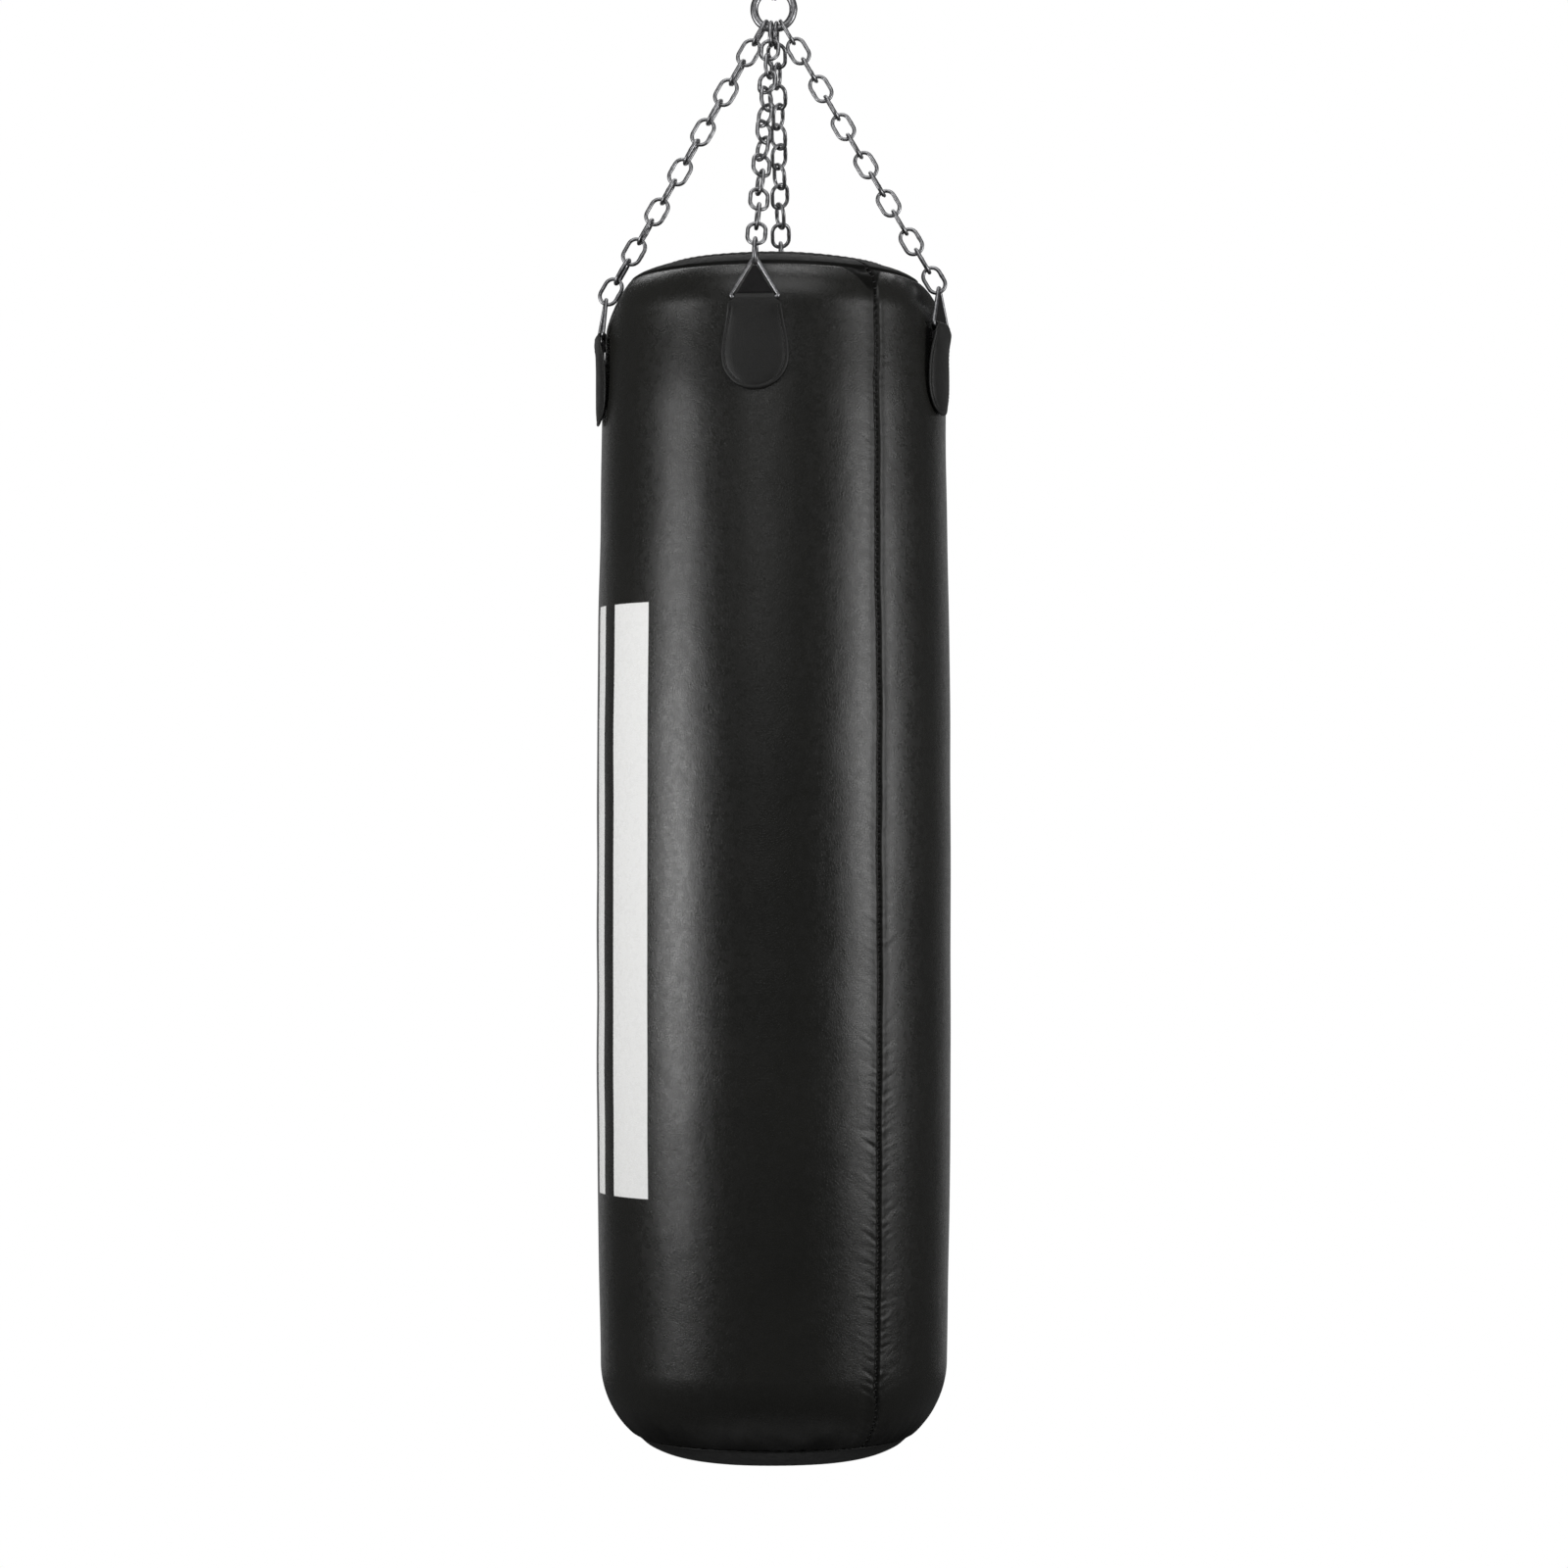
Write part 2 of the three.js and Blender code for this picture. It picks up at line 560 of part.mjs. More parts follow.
// ---------------------------------------------------------------- stuffing

const insideRadius = BAG_RADIUS - LEATHER - 1;
const stuffingZ = [baseZ + 62, baseZ + BAG_HEIGHT - SHOULDER_HEIGHT - 6];
const linerRadius = insideRadius - FOAM - GAP;
const fillRadius = linerRadius - CANVAS - GAP;

piece('foam_sleeve', washer(insideRadius - FOAM, insideRadius - 8, stuffingZ, 40), FOAM_SHEET);

// The canvas liner is an open sack that holds the fill.
function canvasLiner() {
  const floor = stuffingZ[0] - 30;
  return turned([
    [0, floor], [linerRadius - 20, floor], [linerRadius, floor + 20], [linerRadius, stuffingZ[1]],
    [linerRadius - CANVAS, stuffingZ[1]], [linerRadius - CANVAS, floor + 20 + CANVAS],
    [linerRadius - 20 - CANVAS, floor + CANVAS], [0, floor + CANVAS],
  ], 40);
}

function textileFill() {
  const floor = stuffingZ[0] - 30 + CANVAS + GAP;
  return turned([
    [0, floor], [fillRadius - 22, floor], [fillRadius - 0.4, floor + 21.5],
    [fillRadius - 0.4, stuffingZ[1] - 2], [fillRadius - 30, stuffingZ[1] + 16], [0, stuffingZ[1] + 18],
  ], 40);
}

piece('canvas_liner', canvasLiner(), CANVAS_CLOTH);
piece('textile_fill', textileFill(), RAGS);

// ---------------------------------------------------------------- tabs, loops and triangle rings

// Teardrop outline: as wide as the wire loop at the top, fuller and round below.
function tabOutline() {
  const shape = new THREE.Shape();
  const half = TAB_WIDTH / 2;
  const halfTop = TAB_TOP_WIDTH / 2;
  shape.moveTo(-halfTop, 0);
  shape.bezierCurveTo(-halfTop - 1, -20, -half, -45, -half, half - TAB_LENGTH);
  shape.absarc(0, half - TAB_LENGTH, half, Math.PI, 2 * Math.PI, false);
  shape.bezierCurveTo(half, -45, halfTop + 1, -20, halfTop, 0);
  shape.closePath();
  return shape;
}

// Bends a flat outline onto the bag: the outline pushed straight through a thin round layer.
function layerOnWall(outline, inner, thickness, top) {
  const depth = BAG_RADIUS + 40;
  const prism = solid(new THREE.ExtrudeGeometry(outline, { depth, bevelEnabled: false, curveSegments: 8 })
    .rotateX(QUARTER_TURN)
    .translate(0, 0, top));
  const layer = washer(inner, inner + thickness, [top - TAB_LENGTH - 20, top + 20], 72);
  return prism.intersect(solid(layer));
}

for (const tab of TABS) {
  const turn = THREE.MathUtils.degToRad(tab.angle);
  const wireZ = baseZ + tab.wireHeight;
  const wall = wallRadius(tab.wireHeight - TAB_LENGTH) + 1;

  const strip = new THREE.Shape([[-1, 0], [1, 0], [1, -1], [-1, -1]].map(
    ([x, z]) => new THREE.Vector2((x * WEBBING_WIDTH) / 2, z < 0 ? 14 - TAB_LENGTH : -6)));
  const webbing = layerOnWall(strip, wall, WEBBING_THICKNESS, wireZ);
  piece(`${tab.name}_webbing`, geometryOf(webbing).rotateZ(turn), WEBBING);

  const leaf = layerOnWall(tabOutline(), wall + WEBBING_THICKNESS + GAP, TAB_THICKNESS, wireZ - 3.6);
  const loopHalf = TAB_TOP_WIDTH / 2 - 6;
  const across = (radius, half) => new THREE.CylinderGeometry(radius, radius, 2 * half, 12)
    .rotateZ(QUARTER_TURN)
    .translate(0, -loopRadius, wireZ);
  const loop = solid(across(5.2, loopHalf));
  const hole = solid(across(TRIANGLE_WIRE + 3 * GAP, loopHalf + 20));
  piece(`${tab.name}_tab`, geometryOf(leaf.add(loop).subtract(hole)).rotateZ(turn), TAB_LEATHER);

  const halfBase = TRIANGLE_WIDTH / 2 - TRIANGLE_WIRE;
  const lean = new THREE.Vector3(0, loopRadius - tab.apexRadius, riseOf(tab));
  const base = new THREE.Vector3(0, -loopRadius, wireZ);
  const corner = (x, rise) => new THREE.Vector3(x, 0, 0).add(base).addScaledVector(lean, rise);
  const outline = [
    corner(2 - halfBase, 0), corner(halfBase - 2, 0), corner(halfBase, 0.05),
    corner(halfBase - 0.8, 0.13), corner(3, 0.97), corner(0, 1), corner(-3, 0.97),
    corner(0.8 - halfBase, 0.13), corner(-halfBase, 0.05),
  ];
  const facing = new THREE.Vector3(1, 0, 0).cross(lean).normalize();
  const ring = closedWire(outline, facing, TRIANGLE_WIRE, 6);
  piece(`${tab.name}_triangle_ring`, ring.rotateZ(turn), ZINC);
}

export default bag;
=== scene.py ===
"""Looks for the leather heavy punching bag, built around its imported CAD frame. Metres, +Z up."""

import json
import math

import bpy
import numpy as np
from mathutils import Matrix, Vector


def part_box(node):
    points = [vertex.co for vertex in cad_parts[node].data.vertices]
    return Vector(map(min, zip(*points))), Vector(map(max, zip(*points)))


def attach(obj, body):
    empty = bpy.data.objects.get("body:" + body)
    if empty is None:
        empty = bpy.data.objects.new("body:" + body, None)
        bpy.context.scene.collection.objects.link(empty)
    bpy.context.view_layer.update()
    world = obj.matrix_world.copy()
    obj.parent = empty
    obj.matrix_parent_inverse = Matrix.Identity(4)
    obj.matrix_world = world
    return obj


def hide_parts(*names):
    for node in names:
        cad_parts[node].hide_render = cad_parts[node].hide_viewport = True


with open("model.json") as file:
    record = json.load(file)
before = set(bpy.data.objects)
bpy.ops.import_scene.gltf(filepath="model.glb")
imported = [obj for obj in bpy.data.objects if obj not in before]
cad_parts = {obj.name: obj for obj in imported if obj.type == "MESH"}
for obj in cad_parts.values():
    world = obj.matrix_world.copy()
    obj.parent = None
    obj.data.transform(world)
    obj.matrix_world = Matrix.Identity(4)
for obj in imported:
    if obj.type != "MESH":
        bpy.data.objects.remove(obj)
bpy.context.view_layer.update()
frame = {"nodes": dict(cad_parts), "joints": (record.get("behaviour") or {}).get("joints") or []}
rng = np.random.default_rng(7)

MM = 0.001

# ---------------------------------------------------------------- dimensions shared with the frame

JOINTS = {joint["name"]: joint for joint in frame["joints"]}
PULLER_PIVOT = Vector(JOINTS["puller_flip"]["pos_m"])
GATE_PIVOT = Vector(JOINTS["gate_hinge"]["pos_m"])

BASE_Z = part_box("base_disc")[0].z
BAG_HEIGHT = 1200 * MM
BAG_TOP_Z = BASE_Z + BAG_HEIGHT
BAG_RADIUS = 174.5 * MM
BULGE = 4.8 * MM
BULGE_HEIGHT = 545 * MM
BULGE_REACH = 385 * MM
TOP_TAPER = 4.5 * MM
TAPER_HEIGHT = 100 * MM
BASE_FLAT = 78 * MM
BASE_ROUNDING = 97 * MM
BASE_SEAM = 136 * MM
SHOULDER_WIDTH = 65 * MM
SHOULDER_HEIGHT = 50 * MM
WALL_TOP = BAG_HEIGHT - SHOULDER_HEIGHT
RIM_RADIUS = 118 * MM
DENT = 13 * MM
DENT_HEIGHT = 1166 * MM
DENT_AROUND = 34 * MM
DENT_UP = 16 * MM
LEATHER = 3 * MM
SEAM_ANGLE = math.radians(41.5)       # the side seam, from the front tab towards +X
SEAM_STITCH = 7.4 * MM
STITCH_SINK = 1.5 * MM
STITCH_HALF = 2.1 * MM
STITCH_TILT = 0.7 * MM
HEM = 33 * MM                         # from the top rim, along the leather, to its binding's edge

RING_LOW, RING_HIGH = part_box("o_ring")
RING_WIRE = 4 * MM
RING_RADIUS = (RING_HIGH.z - RING_LOW.z) / 2 - RING_WIRE
RING_Z = (RING_HIGH.z + RING_LOW.z) / 2

CHAIN_LINKS = 14
LINK_WIRE = 2 * MM
LINK_HALF_WIDTH = 8.75 * MM
SIDE_SEAT = math.radians(30)
FRONT_SEAT = 2.4 * MM

TRIANGLE_HEIGHT = 38.5 * MM
TRIANGLE_HALF = 24.8 * MM
TRIANGLE_WIRE = 2 * MM
LOOP_RADIUS = BAG_RADIUS + 2 * MM     # how far out the wire that a tab holds lies
TAB_LENGTH = 90 * MM                  # below that wire
TAB_HALF = 33 * MM
TAB_TOP_HALF = 26.5 * MM
TAB_FOLD_HALF = 20 * MM                # where it is folded over the wire

# name, angle round the bag, height of the held wire above the base, radius of the ring's apex
TABS = [
    ("front", 0.0, 1153 * MM, 176 * MM),
    ("right", 77.5, 1138 * MM, 175 * MM),
    ("back", 183.2, 1153 * MM, 176 * MM),
    ("left", -76.5, 1130.5 * MM, 171 * MM),
]

# ---------------------------------------------------------------- camera, lights and floor

VIEW_AZIMUTH = math.radians(6.1)
VIEW_DISTANCE = 4.65
VIEW_WIDTH = 1.59093                  # what the camera spans at the bag's axis
AIM_RIGHT = 10.4 * MM
AIM_UP = 79.5 * MM

LIGHT_DISTANCE = 2.2                  # of the two softboxes in front
FLOOR_DROP = 1.6                      # from the hanging bag's base to the floor
FLOOR_RADIUS = 1.35

MIDDLE = Vector((0, 0, BASE_Z + BAG_HEIGHT / 2))
CROWN = Vector((0, 0, BAG_TOP_Z))


def around(azimuth, distance, z):
    """A point at an angle from the front (-Y), positive towards +X."""
    return Vector((distance * math.sin(azimuth), -distance * math.cos(azimuth), z))


def add_camera():
    data = bpy.data.cameras.new("camera")
    data.sensor_width = 36
    data.lens = data.sensor_width * VIEW_DISTANCE / VIEW_WIDTH
    camera = bpy.data.objects.new("camera", data)
    bpy.context.scene.collection.objects.link(camera)
    camera.location = around(VIEW_AZIMUTH, VIEW_DISTANCE, MIDDLE.z)
    right = Vector((math.cos(VIEW_AZIMUTH), math.sin(VIEW_AZIMUTH), 0))
    target = MIDDLE + right * AIM_RIGHT + Vector((0, 0, AIM_UP))
    camera.rotation_euler = (target - camera.location).to_track_quat("-Z", "Y").to_euler()
    bpy.context.scene.camera = camera


def add_light(name, azimuth, distance, height, size, radiance, aim=None):
    """A rectangular softbox: degrees round from the camera, and height above the bag's middle."""
    data = bpy.data.lights.new(name, "AREA")
    data.shape = "RECTANGLE"
    data.size, data.size_y = size
    data.energy = radiance * math.pi * size[0] * size[1]
    light = bpy.data.objects.new(name, data)
    bpy.context.scene.collection.objects.link(light)
    light.location = around(VIEW_AZIMUTH + math.radians(azimuth), distance, MIDDLE.z + height)
    towards = (aim or Vector((0, 0, light.location.z))) - light.location
    light.rotation_euler = towards.to_track_quat("-Z", "Y").to_euler()
    light.visible_camera = False


def nodes_of(tree):
    """A short way to add nodes: node("ShaderNodeMath", operation="ADD") and so on."""

    def node(kind, **values):
        made = tree.nodes.new(kind)
        for key, value in values.items():
            setattr(made, key, value)
        return made

    return node


def mix_shaders(tree, factor, low, high, out):
    mix = tree.nodes.new("ShaderNodeMixShader")
    for source, socket in zip((factor, low.outputs[0], high.outputs[0]), mix.inputs):
        tree.links.new(source, socket)
    tree.links.new(mix.outputs[0], out.inputs[0])


def add_world():
    """White behind the bag, and only a faint glow on it."""
    world = bpy.data.worlds.new("studio")
    bpy.context.scene.world = world
    world.use_nodes = True
    tree = world.node_tree
    tree.nodes.clear()
    node = nodes_of(tree)
    seen = node("ShaderNodeBackground")
    seen.inputs["Color"].default_value = (1, 1, 1, 1)
    around_it = node("ShaderNodeBackground")
    around_it.inputs["Color"].default_value = (0.95, 0.97, 1, 1)
    around_it.inputs["Strength"].default_value = 0.06
    path = node("ShaderNodeLightPath")
    out = node("ShaderNodeOutputWorld")
    mix_shaders(tree, path.outputs["Is Camera Ray"], around_it, seen, out)


def add_floor():
    """A pale round floor below the bag, which fades out towards its edge."""
    steps = 96
    edge = [tuple(around(2 * math.pi * i / steps, FLOOR_RADIUS, 0)) for i in range(steps)]
    faces = [(0, 1 + i, 1 + (i + 1) % steps) for i in range(steps)]
    mesh = bpy.data.meshes.new("floor")
    mesh.from_pydata([(0, 0, 0)] + edge, [], faces)
    floor = bpy.data.objects.new("floor", mesh)
    floor.location.z = BASE_Z - FLOOR_DROP
    bpy.context.scene.collection.objects.link(floor)
    material = bpy.data.materials.new("floor")
    material.use_nodes = True
    tree = material.node_tree
    tree.nodes.clear()
    node = nodes_of(tree)
    place = node("ShaderNodeTexCoord")
    length = node("ShaderNodeVectorMath", operation="LENGTH")
    fade = node("ShaderNodeMapRange", interpolation_type="SMOOTHSTEP")
    fade.inputs["From Min"].default_value = 0.55 * FLOOR_RADIUS
    fade.inputs["From Max"].default_value = FLOOR_RADIUS
    pale = node("ShaderNodeBsdfDiffuse")
    pale.inputs["Color"].default_value = (0.78, 0.78, 0.775, 1)
    clear = node("ShaderNodeBsdfTransparent")
    out = node("ShaderNodeOutputMaterial")
    tree.links.new(place.outputs["Object"], length.inputs[0])
    tree.links.new(length.outputs["Value"], fade.inputs["Value"])
    mix_shaders(tree, fade.outputs[0], pale, clear, out)
    mesh.materials.append(material)


bpy.context.scene.view_settings.view_transform = "Standard"
add_camera()
add_world()
add_floor()

# Each side's softbox is brightest in the middle: name, azimuth, width and (low, high, radiance).
SOFTBOXES = [
    ("left", -63, 0.86, [(-0.75, -0.33, 1.0), (-0.33, 0.25, 13), (0.25, 0.85, 5)]),
    ("right", 65, 1.2, [(-0.75, -0.28, 1.1), (-0.28, 0.6, 7.5), (0.6, 1.0, 3)]),
]
for side, azimuth, width, bands in SOFTBOXES:
    for low, high, radiance in bands:
        middle = (low + high) / 2
        add_light(f"{side}_softbox", azimuth, LIGHT_DISTANCE, middle, (width, high - low), radiance)
add_light("overhead", 0, 0.0, 1.9, (0.95, 0.6), 3.0, Vector((0, 0, 0)))
add_light("chain_fill", -8, 3.4, 1.1, (1.2, 0.6), 3, Vector((0, 0, -0.3)))
add_light("rim_left", -154, 2.4, 0.1, (1.2, 1.9), 0.3)
add_light("rim_right", 154, 2.4, 0.1, (1.2, 1.9), 0.3)
add_light("high_front", 0, 1.5, 2.1, (2.2, 1.5), 2.0, CROWN)
add_light("back_top", 180, 1.6, 2.0, (2.2, 0.8), 2.5, CROWN)
add_light("back_fill", 180, 2.8, 0.1, (0.7, 1.9), 3.5)

# ---------------------------------------------------------------- materials


class Look:
    """A Principled material whose colour, roughness and bump are built up in steps."""

    def __init__(self, name, metallic=0.0, sheen=0.0, specular=0.5):
        self.material = bpy.data.materials.new(name)
        self.material.use_nodes = True
        self.tree = self.material.node_tree
        self.tree.nodes.clear()
        self.node = nodes_of(self.tree)
        self.shader = self.node("ShaderNodeBsdfPrincipled")
        self.shader.inputs["Metallic"].default_value = metallic
        self.shader.inputs["Sheen Weight"].default_value = sheen
        self.shader.inputs["Specular IOR Level"].default_value = specular
        out = self.node("ShaderNodeOutputMaterial")
        self.link(self.shader.outputs[0], out.inputs[0])
        self.place = self.node("ShaderNodeTexCoord").outputs["Object"]
        self.normal = None

    def link(self, a, b):
        self.tree.links.new(a, b)

    def math(self, operation, *values):
        made = self.node("ShaderNodeMath", operation=operation)
        for socket, value in zip(made.inputs, values):
            if isinstance(value, (int, float)):
                socket.default_value = value
            else:
                self.link(value, socket)
        return made.outputs[0]

    def bell(self, value, width):
        """1 where the value is 0, falling off smoothly within a width either side."""
        share = self.math("DIVIDE", value, width)
        return self.math("EXPONENT", self.math("MULTIPLY", self.math("POWER", share, 2.0), -1.0))

    def around(self):
        """The distance from the bag's axis, the angle from the front tab and the height."""
        parts = self.node("ShaderNodeSeparateXYZ")
        self.link(self.place, parts.inputs[0])
        x, y, z = parts.outputs
        flat = self.math("ADD", self.math("POWER", x, 2.0), self.math("POWER", y, 2.0))
        angle = self.math("ARCTAN2", x, self.math("MULTIPLY", y, -1.0))
        return self.math("SQRT", flat), angle, z

    def noise(self, scale, detail=3.0, roughness=0.55, stretch=(1, 1, 1)):
        mapping = self.node("ShaderNodeMapping")
        mapping.inputs["Scale"].default_value = stretch
        self.link(self.place, mapping.inputs["Vector"])
        made = self.node("ShaderNodeTexNoise")
        made.inputs["Scale"].default_value = scale
        made.inputs["Detail"].default_value = detail
        made.inputs["Roughness"].default_value = roughness
        self.link(mapping.outputs[0], made.inputs["Vector"])
        return made.outputs["Fac"]

    def cells(self, scale, feature="F1"):
        made = self.node("ShaderNodeTexVoronoi", feature=feature)
        made.inputs["Scale"].default_value = scale
        self.link(self.place, made.inputs["Vector"])
        return made.outputs["Distance"]

    def remap(self, value, low, high, to_low, to_high, smooth=False):
        made = self.node("ShaderNodeMapRange")
        if smooth:
            made.interpolation_type = "SMOOTHSTEP"
        for key, number in zip(("From Min", "From Max", "To Min", "To Max"), (low, high, to_low, to_high)):
            made.inputs[key].default_value = number
        self.link(value, made.inputs["Value"])
        return made.outputs[0]

    def colour(self, value, dark, light, low=0.3, high=0.7):
        ramp = self.node("ShaderNodeValToRGB")
        ramp.color_ramp.elements[0].position = low
        ramp.color_ramp.elements[0].color = (*dark, 1)
        ramp.color_ramp.elements[1].position = high
        ramp.color_ramp.elements[1].color = (*light, 1)
        self.link(value, ramp.inputs[0])
        return ramp.outputs[0]

    def mix(self, factor, a, b):
        made = self.node("ShaderNodeMix", data_type="RGBA")
        self.link(factor, made.inputs["Factor"])
        for socket, value in ((made.inputs[6], a), (made.inputs[7], b)):
            if isinstance(value, tuple):
                socket.default_value = (*value, 1)
            else:
                self.link(value, socket)
        return made.outputs[2]

    def bump(self, height, distance, strength):
        made = self.node("ShaderNodeBump")
        made.inputs["Distance"].default_value = distance
        made.inputs["Strength"].default_value = strength
        self.link(height, made.inputs["Height"])
        if self.normal is not None:
            self.link(self.normal, made.inputs["Normal"])
        self.normal = made.outputs[0]

    def done(self, colour, roughness):
        self.link(colour, self.shader.inputs["Base Color"])
        self.link(roughness, self.shader.inputs["Roughness"])
        if self.normal is not None:
            self.link(self.normal, self.shader.inputs["Normal"])
        return self.material


LEATHER_SHINE = 0.34
MATT_SHINE = 0.04


def leather_look(name, dark, light, rough, grain=950):
    """Pebbled leather with fine creases and shallow dimples; returns its unfinished look."""
    look = Look(name, specular=LEATHER_SHINE)
    patches = look.noise(7, 4, 0.6)
    pebbles = look.cells(grain, "SMOOTH_F1")
    creases = look.cells(grain * 0.42, "DISTANCE_TO_EDGE")
    look.bump(look.noise(24, 2, 0.5, (1, 1, 0.7)), 1.5 * MM, 0.45)
    look.bump(look.noise(85, 3, 0.5), 0.4 * MM, 0.35)
    look.bump(look.remap(creases, 0, 0.12, 0, 1), 0.14 * MM, 0.35)
    look.bump(pebbles, 0.2 * MM, 0.45)
    colour = look.colour(patches, dark, light)
    roughness = look.remap(look.noise(120, 5, 0.65), 0.3, 0.7, rough - 0.05, rough + 0.07)
    return look, colour, roughness


def plain_leather(*values):
    look, colour, roughness = leather_look(*values)
    return look.done(colour, roughness)


def bag_leather(name, dark, light, rough):
    """The wall's leather, dull and painted darker as shade where it is folded or tucked, with the print on
    it.
    """
    look, colour, roughness = leather_look(name, dark, light, rough)
    matt_and_shade = matt_and_shade_mask(look)
    look.link(look.remap(matt_and_shade, 0, 1, LEATHER_SHINE, MATT_SHINE), look.shader.inputs["Specular IOR Level"])
    roughness = look.math("ADD", roughness, look.math("MULTIPLY", matt_and_shade, 0.25))
    # painted shade: where the mask is 1 the colour falls to 0.4 of the dark tone
    colour = look.mix(matt_and_shade, colour, tuple(0.4 * value for value in dark))
    ink = look.colour(look.noise(300, 4, 0.7), (0.95, 0.95, 0.93), (0.98, 0.98, 0.97))
    return look.done(look.mix(print_mask(look), colour, ink), roughness)


BINDING_RADIUS = 148.5 * MM           # of the binding's outer edge
FOLD_OVER = 20 * MM                   # how much wider it is where the seam folds over it
FOLD_ANGLE = 0.12
PUCKER_ANGLE = 0.055                  # half the width of the strip along the seam that is dull and painted darker as shade, in radians
# heights between which the tuck at the base is painted darker as shade
TUCK_SHADE = (BASE_Z + 18 * MM, BASE_Z + 62 * MM)
PRINT_BANDS = [(-47.5, 9.5), (-69.0, 4.0)]    # middle and half width, degrees from the front tab
PRINT_Z = (BASE_Z + 268 * MM, BASE_Z + 857 * MM)
PRINT_SOFT = (0.0025, 0.4 * MM)       # its edges' softness, in radians round the bag and along it


def matt_and_shade_mask(look):
    """1 on the crown's binding, wider where the seam folds over it, along the seam and in the tuck at the
    base. There the leather is dull and painted darker: painted shade in the tuck, along the seam and at the
    fold, and on the binding partly its duller leather and partly painted shade.
    """
    radius, angle, z = look.around()
    from_seam = look.math("SUBTRACT", angle, SEAM_ANGLE)
    # painted shade along the seam's groove, at most 0.4
    seam_matt_and_shade = look.math("MULTIPLY", look.bell(from_seam, PUCKER_ANGLE), 0.4)
    fold = look.math("MULTIPLY", look.bell(from_seam, FOLD_ANGLE), FOLD_OVER)
    radius = look.math("SUBTRACT", radius, fold)
    # the crown's binding: partly its duller leather, partly painted shade
    crown = look.remap(radius, BINDING_RADIUS - 1.5 * MM, BINDING_RADIUS + 1.5 * MM, 1, 0, smooth=True)
    crown = look.math("MULTIPLY", crown, look.remap(z, BASE_Z + 1.0, BASE_Z + 1.1, 0, 1))
    wander = look.remap(look.noise(30, 3, 0.6), 0.3, 0.7, -6 * MM, 6 * MM)
    # painted shade in the tuck at the base, its edge wandering with noise
    tuck = look.remap(look.math("ADD", z, wander), *TUCK_SHADE, 1, 0, smooth=True)
    return look.math("MAXIMUM", look.math("MAXIMUM", crown, tuck), seam_matt_and_shade)


def print_mask(look):
    """1 inside the two plain white bands printed down the left of the bag."""
    _, angle, z = look.around()
    inside = None
    for centre, half in PRINT_BANDS:
        away = look.math("ABSOLUTE", look.math("SUBTRACT", angle, math.radians(centre)))
        band = look.remap(away, math.radians(half) - PRINT_SOFT[0], math.radians(half) + PRINT_SOFT[0], 1, 0)
        inside = band if inside is None else look.math("MAXIMUM", inside, band)
    above = look.math("ABSOLUTE", look.math("SUBTRACT", z, sum(PRINT_Z) / 2))
    half = (PRINT_Z[1] - PRINT_Z[0]) / 2
    between = look.remap(above, half - PRINT_SOFT[1], half + PRINT_SOFT[1], 1, 0)
    return look.math("MULTIPLY", inside, between)


def steel_look(name, dark, light, rough, scratch=0.25):
    look = Look(name, metallic=1.0)
    spangle = look.noise(260, 4, 0.65)
    colour = look.colour(spangle, dark, light, 0.32, 0.72)
    roughness = look.remap(look.noise(900, 3, 0.6), 0.25, 0.75, rough - 0.08, rough + 0.12)
    look.bump(look.noise(1500, 3, 0.6), 0.05 * MM, scratch)
    look.bump(look.noise(260, 2, 0.5), 0.15 * MM, scratch)
    return look.done(colour, roughness)


def cloth_look(name, dark, light, pitch, rough=0.9, sheen=0.15):
    """A plain weave: two crossed waves of threads."""
    look = Look(name, sheen=sheen, specular=0.25)
    waves = []
    for direction in ("X", "Z"):
        wave = look.node("ShaderNodeTexWave", bands_direction=direction)
        wave.inputs["Scale"].default_value = 0.5 / pitch
        wave.inputs["Distortion"].default_value = 0.4
        look.link(look.place, wave.inputs["Vector"])
        waves.append(wave.outputs["Fac"])
    threads = look.math("MAXIMUM", *waves)
    look.bump(threads, 0.35 * MM, 0.8)
    tone = look.math("MULTIPLY", threads, look.noise(140, 4, 0.6))
    roughness = look.remap(look.noise(500, 3, 0.6), 0.3, 0.7, rough - 0.08, rough + 0.06)
    return look.done(look.colour(tone, dark, light, 0.1, 0.6), roughness)


BLACK = (0.0120, 0.0119, 0.0107)
BLACK_LIGHT = (0.0158, 0.0156, 0.0140)
FINE_GRAIN = 1200
BAG_LEATHER = bag_leather("bag_leather", BLACK, BLACK_LIGHT, 0.27)
BASE_LEATHER = plain_leather("base_leather", (0.003, 0.003, 0.0028), (0.005, 0.005, 0.0046), 0.55)
TAB_LEATHER = plain_leather(
    "tab_leather", (0.0068, 0.0068, 0.0063), (0.0105, 0.0103, 0.0096), 0.5, FINE_GRAIN)
TONGUE_LEATHER = plain_leather(
    "tongue_leather", (0.0015, 0.0012, 0.0015), (0.003, 0.0024, 0.0028), 0.8, FINE_GRAIN)
THREAD = cloth_look("edge_thread", (0.014, 0.014, 0.013), (0.034, 0.033, 0.032), 0.4 * MM, 0.7)
SEAM_THREAD = cloth_look("seam_thread", (0.004, 0.004, 0.004), (0.012, 0.012, 0.011), 0.4 * MM, 0.6)
WEBBING = cloth_look("webbing_weave", (0.006, 0.005, 0.006), (0.02, 0.018, 0.02), 1.4 * MM)
CANVAS = cloth_look("canvas_weave", (0.3, 0.27, 0.21), (0.52, 0.48, 0.4), 0.9 * MM)
ZIP_CLOTH = cloth_look("zip_weave", (0.006, 0.006, 0.006), (0.018, 0.018, 0.018), 0.7 * MM)
RAGS = cloth_look("rag_felt", (0.1, 0.1, 0.11), (0.28, 0.27, 0.29), 2.2 * MM)
GALVANISED = steel_look("galvanised_steel", (0.16, 0.16, 0.165), (0.36, 0.36, 0.37), 0.36)
